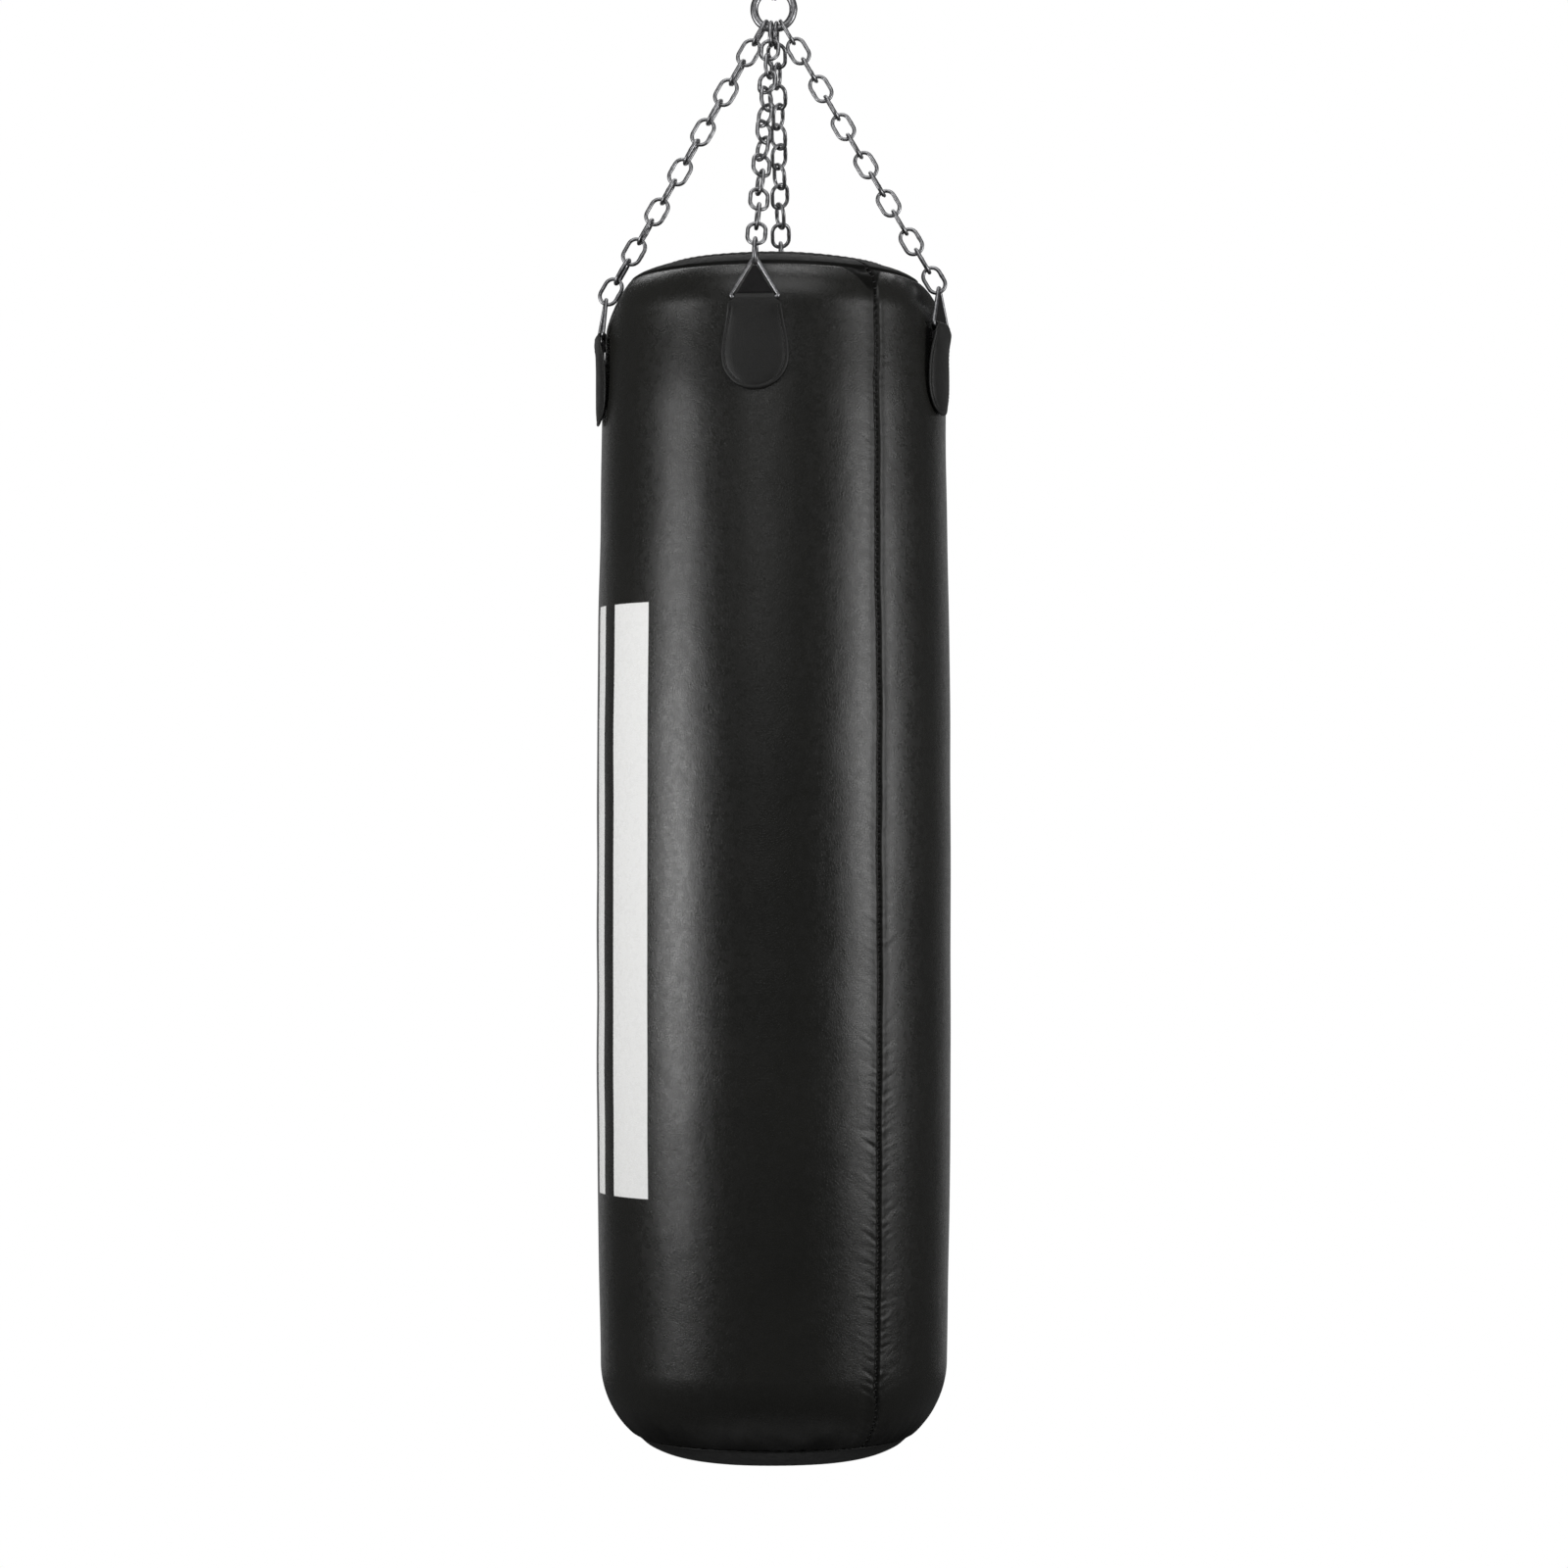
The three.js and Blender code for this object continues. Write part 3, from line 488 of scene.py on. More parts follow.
FORGED = steel_look("forged_steel", (0.2, 0.2, 0.205), (0.38, 0.38, 0.385), 0.32)
POLISHED = steel_look("bearing_steel", (0.45, 0.45, 0.46), (0.62, 0.62, 0.63), 0.18, 0.1)
ZIP_METAL = steel_look("zip_brass", (0.2, 0.17, 0.12), (0.36, 0.32, 0.24), 0.34)


def foam_look():
    look = Look("foam_cells", specular=0.3)
    pores = look.cells(700, "F1")
    look.bump(pores, 0.6 * MM, 0.9)
    colour = look.colour(look.noise(90, 4, 0.6), (0.24, 0.25, 0.26), (0.36, 0.37, 0.38))
    return look.done(colour, look.remap(pores, 0, 1, 0.85, 1))


FOAM = foam_look()

# ---------------------------------------------------------------- mesh helpers


class Build:
    """Collects closed shells of vertices and faces for one object."""

    def __init__(self):
        self.verts = []
        self.faces = []
        self.count = 0

    def add(self, verts, faces):
        self.verts.append(np.asarray(verts, float).reshape(-1, 3))
        self.faces.extend([tuple(i + self.count for i in face) for face in faces])
        self.count += len(self.verts[-1])
        return self

    def threads(self, starts, ends, radius):
        """Stitches: short round-ended threads between pairs of points."""
        along = np.array([0.0, 0.12, 0.5, 0.88, 1.0])[:, None]
        thick = radius * np.array([0.35, 0.85, 1.0, 0.85, 0.35])
        for a, b in zip(np.asarray(starts), np.asarray(ends)):
            self.add(*sweep(a + (b - a) * along, thick, 8, closed=False))
        return self

    def done(self, name, body, material, *replaced, slot):
        mesh = bpy.data.meshes.new(name)
        mesh.from_pydata(np.concatenate(self.verts).tolist(), [], self.faces)
        mesh.validate()
        mesh.update()
        mesh.polygons.foreach_set("use_smooth", np.ones(len(mesh.polygons), bool))
        piece = bpy.data.objects.new(name, mesh)
        bpy.context.scene.collection.objects.link(piece)
        mesh.materials.append(material)
        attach(piece, body)
        if replaced:
            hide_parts(*replaced)
        return piece


def sharpen(piece, degrees=35):
    """Keeps the edges of machined pieces crisp under smooth shading."""
    mesh = piece.data
    limit = math.cos(math.radians(degrees))
    normals = [polygon.normal.copy() for polygon in mesh.polygons]
    owners = {}
    for index, polygon in enumerate(mesh.polygons):
        for key in polygon.edge_keys:
            owners.setdefault(key, []).append(index)
    for edge in mesh.edges:
        pair = owners.get(edge.key, ())
        if len(pair) == 2 and normals[pair[0]].dot(normals[pair[1]]) < limit:
            edge.use_edge_sharp = True
    return piece


def grid_faces(rows, cols, wrap_rows):
    """Quads between neighbouring rows of points, whose columns close into rings."""
    i, j = np.meshgrid(np.arange(rows if wrap_rows else rows - 1), np.arange(cols), indexing="ij")
    below = (i + 1) % rows
    right = (j + 1) % cols
    quads = np.stack([i * cols + j, i * cols + right, below * cols + right, below * cols + j], -1)
    return quads.reshape(-1, 4)


def enclosed(points, quads):
    """Six times the volume inside the quads, to tell which way they face."""
    a, b, c, d = (points[quads[:, k]] for k in range(4))
    return float(np.einsum("ij,ij->", a, np.cross(b, c)) + np.einsum("ij,ij->", a, np.cross(c, d)))


def skin(points, wrap_rows=False):
    """Vertices and outward faces of a closed tube-like grid of points (rows, columns, 3)."""
    points = np.asarray(points, float)
    rows, cols = points.shape[:2]
    flat = points.reshape(-1, 3)
    quads = grid_faces(rows, cols, wrap_rows)
    turned_over = enclosed(flat - flat.mean(0), quads) < 0
    if turned_over:
        quads = quads[:, ::-1]
    faces = [tuple(face) for face in quads.tolist()]
    if not wrap_rows:
        first = tuple(range(cols))
        last = tuple(range((rows - 1) * cols, rows * cols))
        faces.append(first if turned_over else first[::-1])
        faces.append(last[::-1] if turned_over else last)
    return flat, faces


def polar(radius, angle, z):
    """Points at an angle from the front (-Y), positive towards +X; arrays of any matching shapes."""
    return np.stack(np.broadcast_arrays(radius * np.sin(angle), -radius * np.cos(angle), z), -1)


def full_turn(steps):
    return np.arange(steps) / steps * 2 * math.pi


def turned(profile, steps, open_ended=False):
    """Turns a closed (radius, z) profile round the Z axis, or an open one that ends near that axis."""
    profile = np.asarray(profile, float)
    points = polar(profile[:, 0:1], full_turn(steps), profile[:, 1:2])
    return skin(points, wrap_rows=not open_ended)


def rounded(corners, radius, steps=5):
    """A closed flat outline with each corner rounded."""
    corners = [np.asarray(c, float) for c in corners]
    points = []
    for k, corner in enumerate(corners):
        before = corners[k - 1] - corner
        after = corners[(k + 1) % len(corners)] - corner
        cut = min(radius, 0.45 * np.linalg.norm(before), 0.45 * np.linalg.norm(after))
        a = corner + before / np.linalg.norm(before) * cut
        b = corner + after / np.linalg.norm(after) * cut
        for t in np.linspace(0, 1, steps):
            points.append((1 - t) ** 2 * a + 2 * t * (1 - t) * corner + t ** 2 * b)
    return np.array(points)


def sweep(path, radius, sides=16, closed=True, normal=None):
    """A round wire along a path of points; radius may be one number or one per point."""
    path = np.asarray(path, float)
    if closed:
        tangent = np.roll(path, -1, 0) - np.roll(path, 1, 0)
    else:
        tangent = np.gradient(path, axis=0)
    tangent /= np.linalg.norm(tangent, axis=1, keepdims=True)
    if normal is None:
        up = np.tile([0.0, 0.0, 1.0], (len(path), 1))
        up[np.abs(tangent[:, 2]) > 0.9] = (1.0, 0.0, 0.0)
    else:
        up = np.tile(np.asarray(normal, float), (len(path), 1))
    side = np.cross(tangent, up)
    side /= np.linalg.norm(side, axis=1, keepdims=True)
    up = np.cross(side, tangent)
    angle = full_turn(sides)
    radius = np.broadcast_to(np.asarray(radius, float), (len(path),))[:, None, None]
    ring = np.cos(angle)[None, :, None] * side[:, None] + np.sin(angle)[None, :, None] * up[:, None]
    return skin(path[:, None] + radius * ring, wrap_rows=closed)


def block(x, y, z, bevel=0.3 * MM):
    """A box with bevelled vertical and top edges, given its limits."""
    outline = rounded([(x[0], y[0]), (x[1], y[0]), (x[1], y[1]), (x[0], y[1])], 3 * bevel, 4)
    middle = outline.mean(0)
    rows = []
    for height, inset in ((z[0], bevel), (z[0] + bevel, 0), (z[1] - bevel, 0), (z[1], bevel)):
        size = np.maximum(np.abs(outline - middle).max(0), 1e-6)
        scaled = middle + (outline - middle) * (1 - inset / size)
        rows.append(np.column_stack([scaled, np.full(len(scaled), height)]))
    return skin(np.array(rows))


def arc(centre, radius, start, end, steps):
    """Points of an arc in the XZ plane; angles in degrees from +X towards +Z."""
    angle = np.radians(np.linspace(start, end, steps))
    return np.column_stack([
        centre[0] + radius * np.cos(angle), np.zeros(steps), centre[1] + radius * np.sin(angle)])


def turn_z(verts, angle):
    c, s = math.cos(angle), math.sin(angle)
    verts = np.asarray(verts, float)
    return np.column_stack([
        c * verts[:, 0] - s * verts[:, 1], s * verts[:, 0] + c * verts[:, 1], verts[:, 2]])


def smoothstep(x, low, high):
    t = np.clip((np.asarray(x, float) - low) / (high - low), 0, 1)
    return t * t * (3 - 2 * t)


def bell(x, width):
    """1 where x is 0, falling off smoothly within a width either side."""
    return np.exp(-((x / width) ** 2))


def line_length(line):
    """The distance along a line at each of its points."""
    return np.concatenate([[0], np.cumsum(np.linalg.norm(np.diff(line, axis=0), axis=1))])


# ---------------------------------------------------------------- bag shell

GRID = 1.9 * MM                       # spacing of the shell's rows of points
SADDLE = 3.5 * MM
SEAM_LEAN = math.radians(5.5)         # how far the seam drifts round the crown and the base
LUMP_WAVES = 14
CREASES = 1500
CREASE_DEPTH = 0.42                   # millimetres, in or out
GATHERS = 64                          # pleats round the base seam
RIM_GATHERS = 58


def wall_radius(height):
    """The filled bag swells a little round its middle and tapers towards the shoulder."""
    swell = BULGE * np.exp(-(((np.asarray(height) - BULGE_HEIGHT) / BULGE_REACH) ** 4))
    return BAG_RADIUS + swell - TOP_TAPER * smoothstep(height, WALL_TOP - TAPER_HEIGHT, WALL_TOP)


def saddle(angle, height):
    """The front and back of the crown stand a little higher than its sides."""
    return SADDLE * np.cos(angle) ** 2 * smoothstep(height, WALL_TOP - 20 * MM, BAG_HEIGHT - 12 * MM)


def dent(angle, radius, height):
    """How far the two side chains press the shoulder in."""
    depth = 0.0
    for name, side, _, _ in TABS:
        if name in ("left", "right"):
            across = 2 * radius * np.sin((angle - math.radians(side)) / 2) / DENT_AROUND
            up = (height - DENT_HEIGHT) / DENT_UP
            depth = depth + DENT * bell(across, 1) * bell(up, 1)
    return depth


def wall_outline(offset, spacing):
    """Evenly spaced (radius, height) points from the base seam to the top rim, pushed in by offset."""
    low = float(wall_radius(BASE_ROUNDING))
    start = math.asin((BASE_SEAM - BASE_FLAT) / BASE_ROUNDING)
    angle = np.linspace(start, math.pi / 2, 60)
    base = np.column_stack([
        BASE_FLAT + (low - BASE_FLAT - offset) * np.sin(angle),
        BASE_ROUNDING - (BASE_ROUNDING - offset) * np.cos(angle)])
    height = np.linspace(BASE_ROUNDING, WALL_TOP, 200)[1:-1]
    wall = np.column_stack([wall_radius(height) - offset, height])
    flat = float(wall_radius(WALL_TOP)) - SHOULDER_WIDTH
    angle = np.linspace(0, math.acos((RIM_RADIUS - flat) / SHOULDER_WIDTH), 60)
    shoulder = np.column_stack([
        flat + (SHOULDER_WIDTH - offset) * np.cos(angle),
        WALL_TOP + (SHOULDER_HEIGHT - offset) * np.sin(angle)])
    line = np.concatenate([base, wall, shoulder])
    length = line_length(line)
    even = np.linspace(0, length[-1], int(length[-1] / spacing))
    return np.column_stack([np.interp(even, length, line[:, k]) for k in (0, 1)]), even


def seam_columns():
    """Angles from the side seam, close together beside it and wide apart round the back."""
    near = np.radians(np.arange(-8, 8.01, 0.25))
    middle = np.radians(np.arange(9, 30.1, 1.0))
    far = np.radians(np.arange(32.5, 327.6, 2.5))
    return np.concatenate([near, middle, far, 2 * math.pi - middle[::-1]])


def lumps(angle, height):
    """Slow swells where the stuffing pushes the leather unevenly."""
    swell = np.zeros(np.broadcast(angle, height).shape)
    for _ in range(LUMP_WAVES):
        around_count = rng.integers(1, 7)
        along = rng.uniform(2.5, 12)
        phases = rng.uniform(0, 2 * math.pi, 2)
        up = np.sin(along * 2 * math.pi * height / BAG_HEIGHT + phases[1])
        swell += np.sin(around_count * angle + phases[0]) * up
    return swell / LUMP_WAVES


def wrinkles(along, side, height):
    """Short creases that fan out and up from the seam, deeper lower down."""
    relief = np.zeros(np.broadcast(along, side).shape)
    step = along[1, 0] - along[0, 0]
    for _ in range(CREASES):
        start = rng.uniform(0, along[-1, 0])
        hand = rng.choice([-1, 1])
        reach = rng.uniform(4, 22) * MM
        rise = rng.uniform(0.1, 0.8)
        width = rng.uniform(1.1, 2.2) * MM
        depth = rng.uniform(-CREASE_DEPTH, CREASE_DEPTH) * MM
        first = max(0, int((start - 4 * width) / step))
        last = int((start + 4 * width + 2.5 * reach * rise) / step) + 1
        low = float(1 - smoothstep(height[min(int(start / step), len(height) - 1), 0], 0.16, 0.62))
        out = hand * side[first:last]
        fade = smoothstep(out, 0, 3 * MM) * bell(out, reach)
        across = (along[first:last] - start - rise * np.abs(out)) / width
        relief[first:last] += (0.3 + 0.7 * low) * depth * fade * bell(across, 1)
    return relief


def seam_relief(along, side):
    """The sewn groove with a roll of leather on each side, pulled in at each stitch."""
    stitch = np.cos(2 * math.pi * along / SEAM_STITCH)
    groove = -(3.0 + 0.7 * stitch) * MM * bell(side, 1.9 * MM)
    roll = 0.35 * MM * bell(np.abs(side) - 5 * MM, 3.5 * MM)
    pull = -0.22 * MM * stitch * np.exp(-np.abs(side) / (3.5 * MM))
    return groove + roll + pull


def edge_relief(angle, along, from_rim, side):
    """Gathers at both ends, the tuck at the base seam and the hem and binding of the crown."""
    gather = np.cos(GATHERS * angle + 1.5 * np.sin(5 * angle)) * np.exp(-along / (22 * MM))
    rim_gather = np.cos(RIM_GATHERS * angle + 2 * np.sin(4 * angle)) * np.exp(-from_rim / (12 * MM))
    base_tuck = -2.0 * MM * bell(along, 6 * MM)
    hem = -1.3 * MM * bell(from_rim - HEM, 1.6 * MM)
    binding = 0.9 * MM * smoothstep(HEM - from_rim, 0, 2 * MM)
    fold = -1.8 * MM * bell(side + 9 * MM, 10 * MM) * bell(from_rim - HEM - 5 * MM, 5 * MM)
    return 0.5 * MM * gather + 0.35 * MM * rim_gather + base_tuck + hem + binding + fold


def shell_surface():
    """Points of the shell's outside: an even grid with its seam, creases and swells."""
    outline, along = wall_outline(0, GRID)
    along = along[:, None]
    radius, height = outline[:, 0:1], outline[:, 1:2]
    columns = seam_columns()[None, :]
    inward = np.clip(1 - radius / (BAG_RADIUS - 1 * MM), 0, 1)
    seam = SEAM_ANGLE + SEAM_LEAN * np.sqrt(inward / inward.max())
    angle = seam + columns
    away = (columns + math.pi) % (2 * math.pi) - math.pi
    side = away * radius + 0.5 * MM * np.sin(height * 23) + 0.3 * MM * np.sin(height * 71 + 2)

    slope = np.gradient(outline, axis=0)
    normal = np.column_stack([slope[:, 1], -slope[:, 0]])
    normal /= np.linalg.norm(normal, axis=1, keepdims=True)

    swell = 0.9 * MM * lumps(angle, height)
    lift = swell + wrinkles(along, side, height) + seam_relief(along, side)
    lift = lift + edge_relief(angle, along, along[-1] - along, side)
    r = radius + normal[:, 0:1] * lift - dent(angle, radius, height)
    z = height + normal[:, 1:2] * lift + saddle(angle, height) + BASE_Z
    return polar(r, angle, z), seam[:, 0], along[:, 0]


def add_shell():
    outside, seam, along = shell_surface()
    inner, _ = wall_outline(LEATHER, 24 * MM)
    radius, height = inner[::-1, 0:1], inner[::-1, 1:2]
    angle = SEAM_ANGLE + seam_columns()[None, :]
    inside = polar(radius - dent(angle, radius, height), angle, height + saddle(angle, height) + BASE_Z)
    shell = Build().add(*skin(np.concatenate([outside, inside]), wrap_rows=True))
    piece = shell.done("leather_shell", "bag", BAG_LEATHER, "shell_wall", slot="black_leather")
    add_seam_thread(seam, along)


def add_seam_thread(seam, along):
    """Slanting stitches across the seam, sunk below the leather on either side."""
    sunk, sunk_along = wall_outline(STITCH_SINK, GRID)
    starts, ends = [], []
    distance = SEAM_STITCH
    while distance < along[-1] - 8 * MM:
        centre = np.interp(distance, along, seam)
        sunk_distance = distance / along[-1] * sunk_along[-1]
        r, h = (np.interp(sunk_distance, sunk_along, sunk[:, k]) for k in (0, 1))
        h = BASE_Z + h + saddle(centre, h)
        half = STITCH_HALF / r
        starts.append(around(centre - half, r, h - STITCH_TILT))
        ends.append(around(centre + half, r, h + STITCH_TILT))
        distance += SEAM_STITCH
    stitches = Build().threads(starts, ends, 0.55 * MM)
    stitches.done("side_seam_thread", "bag", SEAM_THREAD, slot="black_leather")


def base_rise(radius, offset):
    """The height of the base's rounding, pushed in by offset."""
    lean = np.clip((radius - BASE_FLAT) / BASE_ROUNDING, 0, 1)
    return BASE_ROUNDING - (BASE_ROUNDING - offset) * np.sqrt(1 - lean ** 2)


def add_base():
    """A leather disc, flat in the middle, gathered into the seam at its edge."""
    edge = BASE_SEAM - 0.4 * MM
    radius = np.concatenate([[2 * MM], np.linspace(12 * MM, edge, 46)])[:, None]
    angle = full_turn(240)[None, :]
    near_edge = np.exp(-(edge - radius) / (16 * MM))
    gather = 0.5 * MM * near_edge * np.cos(GATHERS * angle + 1.5 * np.sin(5 * angle))
    soft = 0.35 * MM * np.sin(3 * angle + 1) * smoothstep(radius, 30 * MM, 120 * MM)
    tuck = 1.6 * MM * bell(edge - radius, 5 * MM)
    under_z = base_rise(radius, 0) + np.maximum(0, gather + soft) * (radius > BASE_FLAT) + tuck
    under = polar(radius, angle, BASE_Z + np.maximum(under_z, 0))
    inner_radius = np.clip(radius[::-4] - 0.6 * MM, 1.5 * MM, None)
    above = polar(inner_radius, angle, BASE_Z + base_rise(inner_radius, LEATHER))
    piece = Build().add(*skin(np.concatenate([under, above])))
    piece.done("leather_base", "bag", BASE_LEATHER, "base_disc", slot="black_leather")


def add_rim():
    """A rolled binding round the opening, with its lacing of short stitches."""
    angle = full_turn(240)[None, :]
    section = full_turn(18)[:, None]
    puff = 1 + 0.05 * np.cos(72 * angle) + 0.03 * np.sin(7 * angle)
    r = RIM_RADIUS - 4.5 * MM + 4.2 * MM * np.cos(section) * puff
    z = BAG_TOP_Z - 2.3 * MM + 4.8 * MM * np.sin(section) * puff + saddle(angle, BAG_HEIGHT)
    Build().add(*skin(polar(r, angle, z), wrap_rows=True)).done(
        "rim_roll", "bag", BASE_LEATHER, "top_rim_binding", slot="black_leather")

    spots = full_turn(150)
    stitch = 0.022
    ring = RIM_RADIUS + 1.5 * MM
    tops = BAG_TOP_Z - 0.5 * MM + saddle(spots, BAG_HEIGHT)
    starts = polar(ring, spots, tops)
    ends = polar(ring, spots + stitch, tops)
    Build().threads(starts, ends, 0.5 * MM).done(
        "rim_thread", "bag", SEAM_THREAD, slot="black_leather")


def add_lid():
    """The recessed lid: two half discs that leave a slot for the zip, with a welt along the slot."""
    low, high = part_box("top_lid")
    outer = high.x
    slot_half = 8 * MM
    slot_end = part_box("zip_tape")[1].x - 8 * MM
    angle = full_turn(160)
    unit = np.column_stack([np.cos(angle), np.sin(angle)])
    squareness = np.maximum(np.abs(unit[:, 0]) / slot_end, np.abs(unit[:, 1]) / slot_half)
    hole = unit / squareness[:, None]
    crown = saddle(angle + math.pi / 2, BAG_HEIGHT)
    shares = np.array([0, 0.01, 0.03, 0.06, 0.12, 0.25, 0.45, 0.7, 0.9, 1.0])
    welt = 1.1 * MM * bell(shares - 0.035, 0.03)
    rows = []
    for share, lift in zip(shares, welt):
        flat = hole + (outer * unit - hole) * share
        wave = MM * share * (1 - share) * np.sin(9 * angle + 1)
        rows.append(np.column_stack([flat, high.z + lift + wave + crown * share ** 2]))
    for share in shares[::-2]:
        flat = hole + (outer * unit - hole) * share
        rows.append(np.column_stack([flat, low.z + crown * share ** 2]))
    Build().add(*skin(np.array(rows), wrap_rows=True)).done(
        "leather_lid", "bag", BASE_LEATHER, "top_lid", slot="black_leather")


def add_zip():
    """The tape, its two cords and the two rows of teeth that mesh between them."""
    low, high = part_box("zip_tape")
    tape = Build().add(*block((low.x, high.x), (low.y, high.y), (low.z, low.z + 1.2 * MM)))
    tape.done("zip_tape_cloth", "bag", ZIP_CLOTH, "zip_tape", slot="zip_cloth")
    cord = Build()
    teeth = Build()
    half = high.x - 11 * MM
    pitch = 2.5 * MM
    tooth = 0.5 * MM
    for side in (-1, 1):
        path = [(x, side * 2.4 * MM, low.z + 1.9 * MM) for x in np.linspace(-half, half, 12)]
        cord.add(*sweep(path, 0.9 * MM, 8, closed=False))
        across = sorted((side * 2.0 * MM, -side * 0.5 * MM))
        for k in range(int(2 * half / pitch)):
            x = -half + (k + 0.5 + 0.25 * side) * pitch
            teeth.add(*block((x - tooth, x + tooth), across, (low.z + 1.3 * MM, high.z), 0.15 * MM))
    cord.done("zip_cord", "bag", ZIP_CLOTH, slot="zip_cloth")
    sharpen(teeth.done("zip_teeth", "bag", ZIP_METAL, slot="zip_metal"))


def add_zip_slider():
    """A plate with two side walls, and two cheeks that carry the puller's pin."""
    low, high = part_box("zip_slider")
    middle = (low.x + high.x) / 2
    plate_top = low.z + 3.8 * MM
    cheek_x = (middle - 2 * MM, middle + 2 * MM)
    cheek_z = (plate_top - 0.5 * MM, PULLER_PIVOT.z + 2 * MM)
    slider = Build()
    slider.add(*block((low.x, high.x), (low.y, high.y), (plate_top - 1.3 * MM, plate_top), 0.4 * MM))
    for side in (-1, 1):
        wall = sorted((side * 3.4 * MM, side * 5.0 * MM))
        cheek = sorted((side * 3.2 * MM, side * 4.6 * MM))
        slider.add(*block((low.x + 1 * MM, high.x - 1 * MM), wall, (low.z, plate_top - 0.6 * MM)))
        slider.add(*block(cheek_x, cheek, cheek_z, 0.5 * MM))
    pin = [(middle, y, PULLER_PIVOT.z) for y in np.linspace(-4 * MM, 4 * MM, 5)]
    slider.add(*sweep(pin, 0.9 * MM, 16, closed=False, normal=(0, 0, 1)))
    sharpen(slider.done("zip_slider_body", "slider", ZIP_METAL, "zip_slider", slot="zip_metal"))


def add_zip_puller():
    """A flat tag with a collar that turns on the slider's pin."""
    low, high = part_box("zip_puller")
    pivot = PULLER_PIVOT
    half = 2.7 * MM
    turn = np.radians(np.arange(0, 360, 15))
    rows = []
    for radius, y in ((1.75, -half), (1.75, half), (1.2, half), (1.2, -half)):
        x = pivot.x + radius * MM * np.cos(turn)
        rows.append(np.column_stack([x, np.full(len(turn), y), pivot.z + radius * MM * np.sin(turn)]))
    puller = Build().add(*skin(np.array(rows), wrap_rows=True))
    puller.add(*block((pivot.x + 1.4 * MM, high.x), (-half, half), (low.z, low.z + 1.5 * MM), 0.5 * MM))
    sharpen(puller.done("zip_puller_tag", "puller", ZIP_METAL, "zip_puller", slot="zip_metal"))


# ---------------------------------------------------------------- tabs and triangle rings


def tab_half_width(z):
    """Half the width of a tab at a distance below its wire: waisted at the top, round below."""
    waist = TAB_FOLD_HALF + (TAB_TOP_HALF - TAB_FOLD_HALF) * smoothstep(z, 0, 7 * MM)
    upper = waist + (TAB_HALF - TAB_TOP_HALF) * smoothstep(z, 6 * MM, 52 * MM)
    lower = np.sqrt(np.clip(TAB_HALF ** 2 - (z - TAB_BELLY) ** 2, 0, None))
    return np.where(z > TAB_BELLY, lower, upper)


def edge_distance(x, z):
    """How far a point of the tab lies inside its outline."""
    straight = tab_half_width(np.minimum(z, TAB_BELLY)) - np.abs(x)
    rounded_end = TAB_HALF - np.hypot(x, z - TAB_BELLY)
    return np.where(z > TAB_BELLY, rounded_end, straight)


TAB_BELLY = TAB_LENGTH - TAB_HALF          # where the tab's round end begins
TAB_THICK = 2.4 * MM
TAB_FOLD = TRIANGLE_WIRE + TAB_THICK / 2   # from the wire's centre to the middle of the leather
THREAD_INSET = 3.8 * MM


class TabShape:
    """Where a tab's leather lies: flat where it is folded, bent round the bag below."""

    def __init__(self, wire_height):
        self.wall = float(wall_radius(wire_height - TAB_LENGTH)) + 1 * MM
        self.rest = self.wall + 1.9 * MM + TAB_THICK / 2

    def middle(self, below):
        """Distance from the axis of the leather's middle, down the tab's own middle line."""
        return self.rest + (LOOP_RADIUS + TAB_FOLD - self.rest) * (1 - smoothstep(below, 0, 38 * MM))

    def droop(self, x, below):
        """How far the leather sinks towards the wall near the tab's edges."""
        edge = 1 - smoothstep(edge_distance(x, below), 0, 12 * MM)
        return -1.2 * MM * edge * smoothstep(below, 12 * MM, 34 * MM)

    def bend(self, x, d, z):
        """Wraps points across the tab round the bag, more and more below the fold."""
        wrap = smoothstep(-z, 4 * MM, 22 * MM)
        flat = np.stack([x, -d, z], -1)
        bent = np.stack([d * np.sin(x / self.wall), -d * np.cos(x / self.wall), z], -1)
        return flat * (1 - wrap[..., None]) + bent * wrap[..., None]


def tab_path(shape):
    """The leather's middle line in section: up the front, over the wire and a little way down behind."""
    round_end = TAB_BELLY + TAB_HALF * np.sin(np.linspace(0, math.pi / 2 - 0.02, 30))
    down = np.concatenate([np.linspace(0, TAB_BELLY, 50)[:-1], round_end])[::-1]
    front = np.column_stack([shape.middle(down), -down])
    bend = np.radians(np.linspace(8, 172, 14))
    over = np.column_stack([LOOP_RADIUS + TAB_FOLD * np.cos(bend), TAB_FOLD * np.sin(bend)])
    behind_down = np.linspace(0, 16 * MM, 8)
    behind = np.column_stack([
        LOOP_RADIUS - TAB_FOLD + 1.2 * MM * smoothstep(behind_down, 2 * MM, 14 * MM), -behind_down])
    below = np.concatenate([down, np.zeros(len(over)), behind_down])[:, None]
    on_front = np.concatenate([np.ones(len(front)), np.zeros(len(over) + len(behind))])[:, None]
    return np.concatenate([front, over, behind]), below, on_front


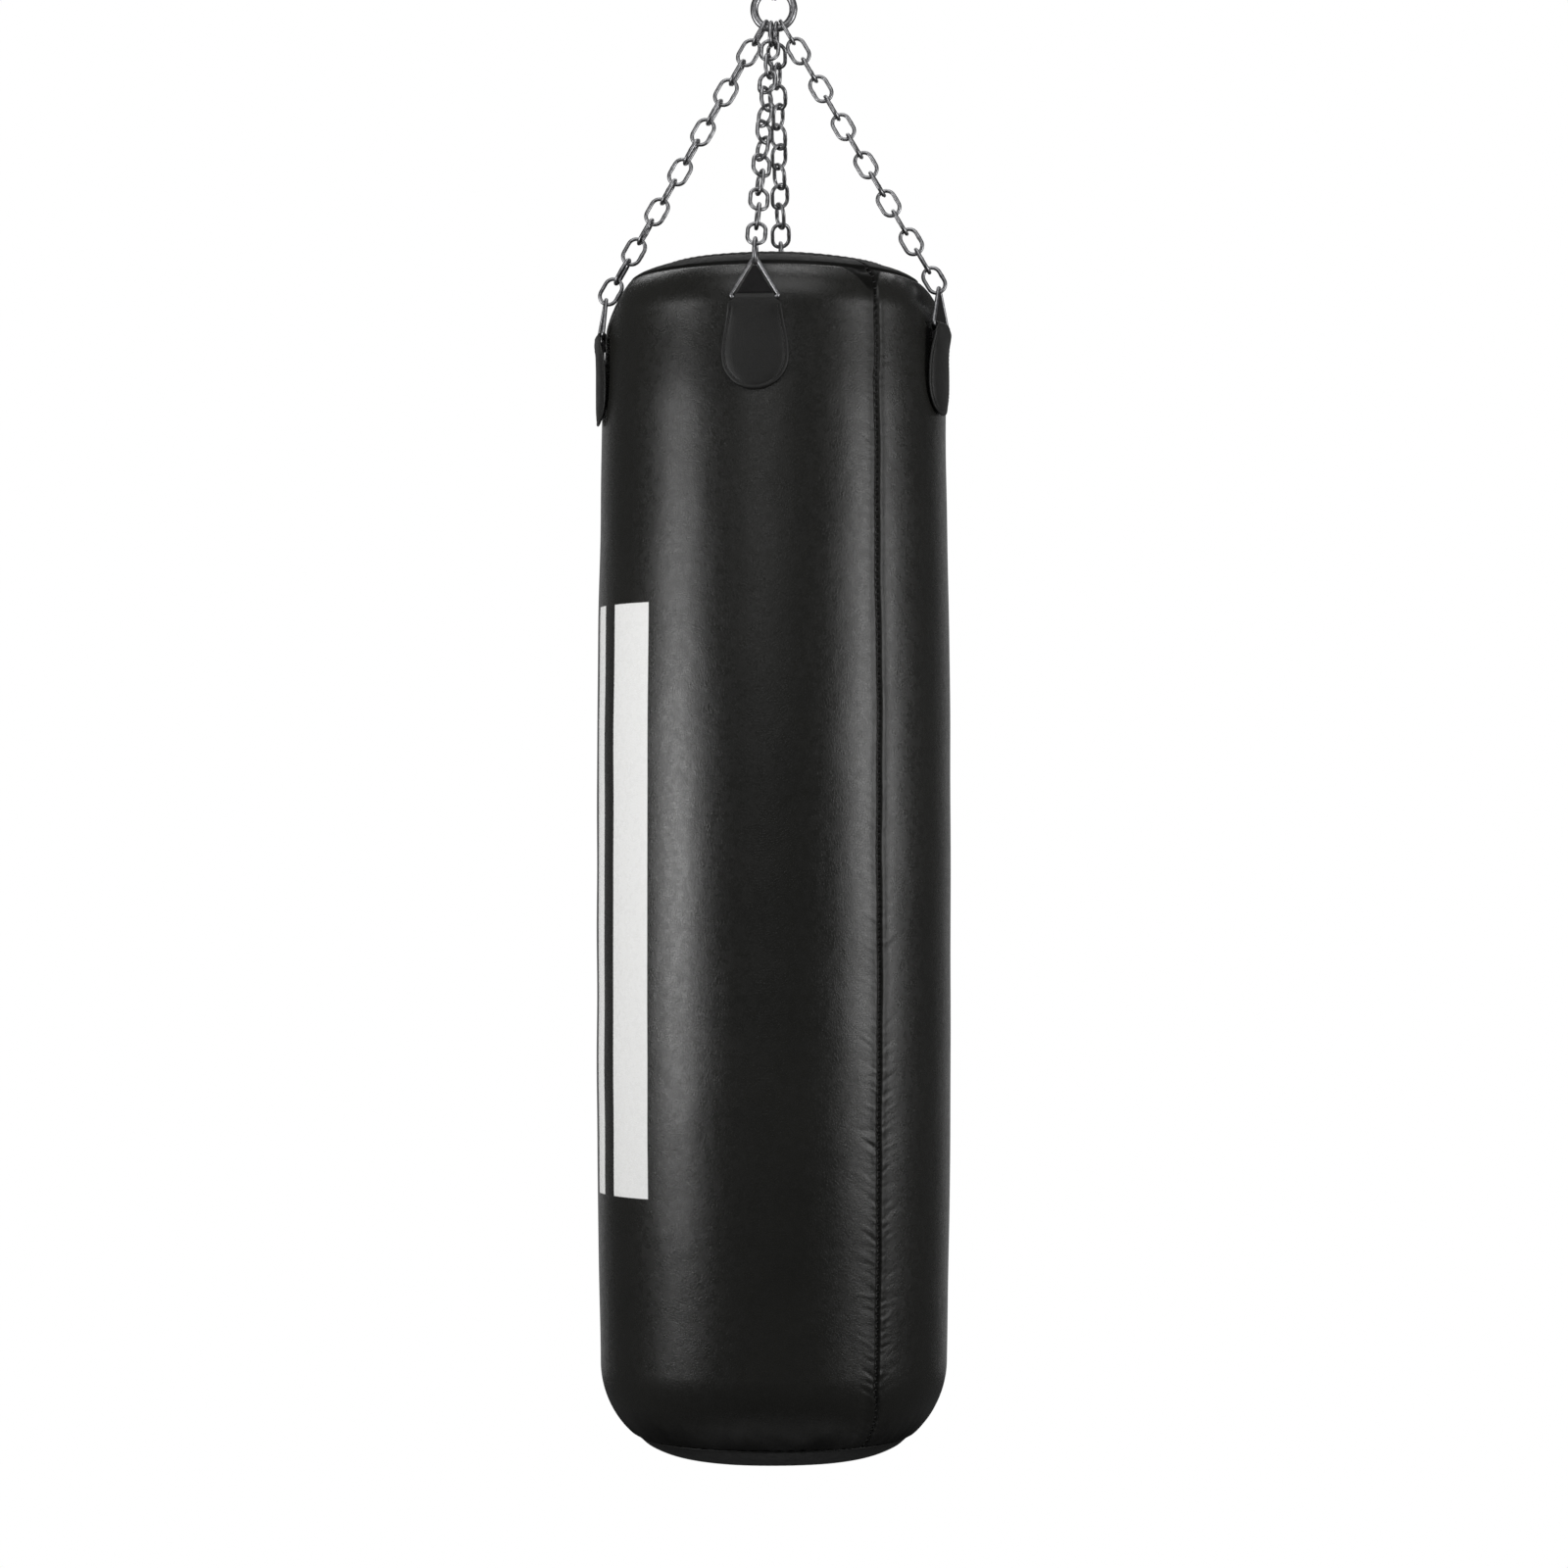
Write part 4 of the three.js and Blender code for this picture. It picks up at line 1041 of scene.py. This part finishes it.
def tab_points(shape):
    """Rows of points round the tab's section, with its crowned face and the thread's furrow."""
    path, below, on_front = tab_path(shape)
    tangent = np.gradient(path, axis=0)
    tangent /= np.linalg.norm(tangent, axis=1, keepdims=True)
    out = np.column_stack([tangent[:, 1], -tangent[:, 0]])

    across = np.sin(np.linspace(-math.pi / 2, math.pi / 2, 53))
    u = np.concatenate([across, across[::-1][2:-2:4]])[None, :]
    outer = np.where(np.arange(u.shape[1]) < len(across), 1.0, -1.0)[None, :]
    x = np.where(on_front > 0, tab_half_width(below), TAB_FOLD_HALF) * u
    distance = np.clip(edge_distance(x, below), 0, None)
    face = on_front * (outer > 0)
    crown = 0.7 * MM * (1 - np.exp(-distance / (8 * MM))) * face
    furrow = -0.4 * MM * bell(distance - THREAD_INSET, 0.9 * MM) * face * smoothstep(below, 4 * MM, 12 * MM)
    round_edge = np.sqrt(np.clip(1 - np.clip(1 - distance / (1.5 * MM), 0, 1) ** 2, 0, 1))
    half_thick = TAB_THICK / 2 * np.where(on_front > 0, round_edge, np.sqrt(1 - u ** 8))
    lift = outer * half_thick + crown + furrow
    droop = (shape.droop(x, below) - shape.droop(0, below)) * on_front
    return shape.bend(x, path[:, 0:1] + out[:, 0:1] * lift + droop, path[:, 1:2] + out[:, 1:2] * lift)


def add_tab(name, angle, wire_height, apex_radius):
    """A leather tab folded over the ring's wire, sewn to the bag, with a tongue inside the ring."""
    turn = math.radians(angle)
    wire_z = BASE_Z + wire_height
    shape = TabShape(wire_height)
    verts, faces = skin(tab_points(shape))
    Build().add(turn_z(verts + (0, 0, wire_z), turn), faces).done(
        f"{name}_leather_tab", "bag", TAB_LEATHER, f"{name}_tab", slot="tab_leather")
    add_tab_thread(name, turn, wire_z, shape)
    add_tongue(name, turn, wire_z, apex_radius)
    add_triangle(name, turn, wire_z, apex_radius)


def add_tab_thread(name, turn, wire_z, shape):
    """Edge stitching that follows the tab's outline a little inside it."""
    sides = [(tab_half_width(z) - THREAD_INSET, z) for z in np.linspace(8 * MM, TAB_BELLY, 40)]
    turnover = np.linspace(0, math.pi, 50)[1:-1]
    inside = TAB_HALF - THREAD_INSET
    bottom = [(inside * math.cos(a), TAB_BELLY + inside * math.sin(a)) for a in turnover]
    line = np.array(sides + bottom + [(-x, z) for x, z in sides[::-1]], float)
    length = line_length(line)
    pitch = 4.3 * MM
    starts = np.arange(0, length[-1] - pitch, pitch)

    def place(at):
        x = np.interp(at, length, line[:, 0])
        below = np.interp(at, length, line[:, 1])
        d = shape.middle(below) + shape.droop(x, below) + TAB_THICK / 2 + 0.1 * MM
        return turn_z(shape.bend(x, d, -below) + (0, 0, wire_z), turn)

    threads = Build().threads(place(starts), place(starts + 0.8 * pitch), 0.45 * MM)
    threads.done(f"{name}_tab_thread", "bag", THREAD, slot="tab_leather")


def ring_lean(apex_radius):
    """The vector from the held wire up to the apex, in the tab's own frame."""
    inward = LOOP_RADIUS - apex_radius
    return np.array([0, inward, math.sqrt(TRIANGLE_HEIGHT ** 2 - inward ** 2)])


def triangle_point(x, rise, wire_z, apex_radius, back=0.0):
    """A point in the ring's plane: x across, rise from 0 at the held wire to 1 at the apex."""
    lean = ring_lean(apex_radius)
    normal = np.array([0, lean[2], -lean[1]]) / TRIANGLE_HEIGHT
    return np.array([x, -LOOP_RADIUS, wire_z]) + rise * lean + back * normal


def add_tongue(name, turn, wire_z, apex_radius):
    """A dark leather tongue that fills the ring above the fold."""
    outline = rounded([(-18 * MM, 0.09), (18 * MM, 0.09), (2.2 * MM, 0.8), (-2.2 * MM, 0.8)], 1, 4)
    grow = np.array([0.55, 0.9, 1.0, 1.0, 0.9, 0.55])
    depth = np.array([-1.2, -0.9, -0.4, 0.4, 0.9, 1.2]) * MM
    middle = outline.mean(0)
    rows = []
    for scale, back in zip(grow, depth):
        flat = middle + (outline - middle) * scale
        rows.append([triangle_point(x, rise, wire_z, apex_radius, back) for x, rise in flat])
    verts, faces = skin(np.array(rows))
    Build().add(turn_z(verts, turn), faces).done(
        f"{name}_tongue", "bag", TONGUE_LEATHER, slot="tab_leather")


def add_triangle(name, turn, wire_z, apex_radius):
    """The triangle ring: bent wire with rounded corners, its apex a little tighter."""
    corners = [(-TRIANGLE_HALF, 0.0), (TRIANGLE_HALF, 0.0), (0.0, TRIANGLE_HEIGHT * 1.07)]
    flat = rounded(corners, 5.5 * MM, 10)
    path = []
    for k in range(len(flat)):
        a, b = flat[k], flat[(k + 1) % len(flat)]
        steps = max(1, int(np.linalg.norm(b - a) / (2.5 * MM)))
        for t in np.arange(steps) / steps:
            x, z = a + (b - a) * t
            path.append(triangle_point(x, z / TRIANGLE_HEIGHT, wire_z, apex_radius))
    normal = np.cross((1, 0, 0), ring_lean(apex_radius) / TRIANGLE_HEIGHT)
    verts, faces = sweep(path, TRIANGLE_WIRE, 14, normal=normal)
    Build().add(turn_z(verts, turn), faces).done(
        f"{name}_wire_triangle", "bag", GALVANISED, f"{name}_triangle_ring", slot="zinc_steel")


# ---------------------------------------------------------------- chains


def link_points(inner_length):
    """Centre line of an oval link in its own XZ plane, and its wire's radius, thicker at the weld."""
    straight = inner_length / 2 + LINK_WIRE - LINK_HALF_WIDTH
    top = arc((0, straight), LINK_HALF_WIDTH, 0, 180, 15)
    bottom = arc((0, -straight), LINK_HALF_WIDTH, 180, 360, 15)
    side = np.linspace(0, 1, 8)[1:-1, None]
    path = np.concatenate([
        top, top[-1] + (bottom[0] - top[-1]) * side, bottom, bottom[-1] + (top[0] - bottom[-1]) * side])
    weld = bell(path[:, 2], 1.6 * MM) * (path[:, 0] > 0)
    return path, LINK_WIRE * (1 + 0.12 * weld)


def seat(name, angle):
    """Where a chain's first link hooks round the o-ring's wire."""
    if name in ("front", "back"):
        offset = -FRONT_SEAT if name == "front" else FRONT_SEAT
        return np.array([offset, 0, RING_Z - math.sqrt(RING_RADIUS ** 2 - offset ** 2)])
    turn = SIDE_SEAT * math.copysign(1, angle)
    return np.array([RING_RADIUS * math.sin(turn), 0, RING_Z - RING_RADIUS * math.cos(turn)])


def add_chain(name, angle, wire_height, apex_radius):
    """A taut welded chain from the o-ring to the apex of the triangle ring."""
    start = seat(name, angle)
    apex_z = BASE_Z + wire_height + ring_lean(apex_radius)[2]
    span = np.array(around(math.radians(angle), apex_radius, apex_z)) - start
    length = np.linalg.norm(span)
    down = span / length
    inner_length = (length + LINK_WIRE + RING_WIRE) / CHAIN_LINKS
    across = np.array([0.0, 1.0, 0.0]) - down[1] * down
    across /= np.linalg.norm(across)
    facing = np.cross(down, across)
    twist = 0.0 if name in ("left", "right") else math.pi / 2
    chain = Build()
    path, radius = link_points(inner_length)
    for k in range(CHAIN_LINKS):
        wobble = rng.uniform(-0.05, 0.05) if 0 < k < CHAIN_LINKS - 1 else 0
        turn = k * math.pi / 2 + twist * k / (CHAIN_LINKS - 1) + wobble
        side = across * math.cos(turn) + facing * math.sin(turn)
        normal = np.cross(side, down)
        centre = start + down * (inner_length / 2 - RING_WIRE + k * inner_length)
        flip = -1 if rng.random() < 0.5 else 1
        placed = centre + flip * path[:, 0:1] * side + path[:, 2:3] * down
        chain.add(*sweep(placed, radius, 12, normal=normal))
    chain.done(f"{name}_link_chain", "bag", GALVANISED, f"{name}_chain", slot="zinc_steel")


# ---------------------------------------------------------------- o-ring, swivel and snap hook


EYE_RADIUS = 11 * MM
EYE_WIRE = 3.5 * MM


def ring_path(z, radius, steps=72):
    return arc((0, z), radius, 0, 360, steps + 1)[:-1]


def add_o_ring():
    path = ring_path(RING_Z, RING_RADIUS, 96)
    weld = bell(path[:, 2] - RING_Z, 2.5 * MM) * (path[:, 0] > 0)
    ring = Build().add(*sweep(path, RING_WIRE * (1 + 0.05 * weld), 24, normal=(0, 1, 0)))
    ring.done("gathering_ring", "bag", GALVANISED, "o_ring", slot="zinc_steel")


def at_height(z, points):
    """Points of a profile, given in millimetres from the axis and above a height."""
    return np.array(points) * MM + (0, z)


def add_eye(build, z, thicker, grow):
    """A forged eye whose wire grows thicker on one side, below (-1) or above (1)."""
    eye = ring_path(z, EYE_RADIUS)
    from_middle = thicker * (eye[:, 2] - z)
    wire = EYE_WIRE * (1 + grow * smoothstep(from_middle, (4.5 + 0.5 * thicker) * MM, EYE_RADIUS))
    verts, faces = sweep(eye, wire, 20, normal=(0, 1, 0))
    build.add(turn_z(verts, math.pi / 2), faces)


def add_swivel():
    """Forged eye and bell, and the eye bolt that turns in it."""
    low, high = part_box("swivel_housing")
    eye_z = high.z - EYE_RADIUS - EYE_WIRE
    top = eye_z - EYE_RADIUS - 1.8 * MM
    groove = [(10.6, 0), (13.4, 0), (14, 0.7), (14, 4), (13.4, 4.6), (13.4, 6), (14, 6.6)]
    dome = [(14, -6), (13.2, -3.2), (11.2, -1), (8, 0.4), (5.5, 1.6), (3, 2), (0.4, 2)]
    inside = [(0.4, -3.6), (10.6, -3.6)]
    profile = np.concatenate([at_height(low.z, groove), at_height(top, dome + inside)])
    housing = Build().add(*turned(profile, 72))
    add_eye(housing, eye_z, -1, 0.22)
    sharpen(housing.done("swivel_bell", "swivel_top", FORGED, "swivel_housing", slot="forged_steel"), 50)

    low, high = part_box("swivel_eye_bolt")
    eye_z = low.z + EYE_RADIUS + EYE_WIRE
    bolt = Build()
    add_eye(bolt, eye_z, 1, 0.2)
    neck = [(0.3, -1), (5.6, -1), (5.9, 1.5), (5.2, 3.2), (4.4, 3.9)]
    end = [(4.4, -0.8), (3.8, 0), (0.3, 0)]
    shank = np.concatenate([at_height(eye_z + EYE_RADIUS, neck), at_height(high.z, end)])
    bolt.add(*turned(shank, 48, open_ended=True))
    sharpen(bolt.done("swivel_eye", "swivel_bolt", FORGED, "swivel_eye_bolt", slot="forged_steel"), 50)


HOOK_BEND = 15 * MM
HOOK_WIRE = 4 * MM
HOOK_NOSE = -13.7 * MM                # lower end of the hook's nose
GATE_TOP = -14.4 * MM
GATE_SLOT = 1.7 * MM                  # half the slot in the gate's lower end


def add_snap_hook():
    """A bent wire body whose lower end is a flat tang that carries the gate."""
    top = HOOK_WIRE - HOOK_BEND
    bottom = JOINTS["hook_swing"]["pos_m"][2] + HOOK_BEND
    left = np.array([(-HOOK_BEND, 0, z) for z in np.linspace(top, bottom, 14)[1:-1]])
    nose = np.array([(HOOK_BEND, 0, HOOK_NOSE + z * MM) for z in (0, 0.7, 1.6)])
    upper = arc((0, top), HOOK_BEND, 0, 180, 36)
    lower = arc((0, bottom), HOOK_BEND, 180, 360, 36)
    path = np.concatenate([nose, upper, left, lower])
    radius = np.full(len(path), HOOK_WIRE)
    radius[0] = HOOK_WIRE - 0.7 * MM
    radius[-1] = HOOK_WIRE - 0.5 * MM
    body = Build().add(*sweep(path, radius, 24, closed=False, normal=(0, 1, 0)))
    tang_x = (HOOK_BEND - 3.4 * MM, HOOK_BEND + 3.4 * MM)
    tang_z = (bottom - 2 * MM, GATE_PIVOT.z + 3.4 * MM)
    body.add(*block(tang_x, (-1.3 * MM, 1.3 * MM), tang_z, 0.5 * MM))
    sharpen(body.done("snap_hook_wire", "snap_hook", FORGED, "snap_hook_body", slot="forged_steel"), 50)


def add_gate():
    """A round bar, forked at the bottom over the tang, with a tongue at the top and riveted ends."""
    low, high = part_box("snap_hook_gate")
    fork_top = GATE_PIVOT.z + 20 * MM
    bar = np.concatenate([
        at_height(fork_top, [(0.3, 0), (4, 0)]), at_height(GATE_TOP, [(4, -0.8), (3.2, 0), (0.3, 0)])])
    verts, faces = turned(bar, 40, open_ended=True)
    gate = Build().add(verts + (HOOK_BEND, 0, 0), faces)
    tongue_x = (HOOK_BEND - 3.3 * MM, HOOK_BEND + 1.2 * MM)
    edge = math.acos(GATE_SLOT / HOOK_WIRE)
    angles = np.linspace(-edge, edge, 15)
    for side in (-1, 1):
        x = HOOK_WIRE * np.sin(angles)
        section = np.column_stack([x, side * HOOK_WIRE * np.cos(angles)])
        section = np.concatenate([section, [(x[-1], side * GATE_SLOT), (x[0], side * GATE_SLOT)]])
        rows = []
        for z, shrink in ((low.z, 0.9), (low.z + 0.6 * MM, 1.0), (fork_top, 1.0)):
            flat = section * (shrink, 1) + (HOOK_BEND, 0)
            rows.append(np.column_stack([flat, np.full(len(flat), z)]))
        gate.add(*skin(np.array(rows)))
    gate.add(*block(tongue_x, (-1.1 * MM, 1.1 * MM), (GATE_TOP - 1 * MM, high.z), 0.3 * MM))
    head = [(0.2, 0.9), (1.2, 0.75), (1.9, 0.35), (2.2, 0), (2.2, -0.6), (0.2, -0.6)]
    verts, faces = turned(at_height(HOOK_WIRE - 0.3 * MM, head), 24, open_ended=True)
    for side in (-1, 1):
        placed = np.column_stack([verts[:, 0], side * verts[:, 2], verts[:, 1]])
        gate.add(placed + GATE_PIVOT, faces if side > 0 else [face[::-1] for face in faces])
    sharpen(gate.done("snap_hook_lever", "hook_gate", FORGED, "snap_hook_gate", slot="forged_steel"), 40)


# ---------------------------------------------------------------- put it together

add_shell()
add_base()
add_rim()
add_lid()
add_zip()
add_zip_slider()
add_zip_puller()
for tab in TABS:
    add_tab(*tab)
    add_chain(*tab)
add_o_ring()
add_swivel()
add_snap_hook()
add_gate()

KEPT_NODES = {
    "gate_pin": POLISHED,
    "gate_spring": POLISHED,
    "swivel_end_cap": FORGED,
    "bearing_lower_race": POLISHED,
    "bearing_ball_cage": POLISHED,
    "bearing_upper_race": POLISHED,
    "swivel_nut": GALVANISED,
    "foam_sleeve": FOAM,
    "canvas_liner": CANVAS,
    "textile_fill": RAGS,
    **{f"{name}_webbing": WEBBING for name, *_ in TABS},
}
for node_name, material in KEPT_NODES.items():
    slots = frame["nodes"][node_name].data.materials
    slots.clear()
    slots.append(material)
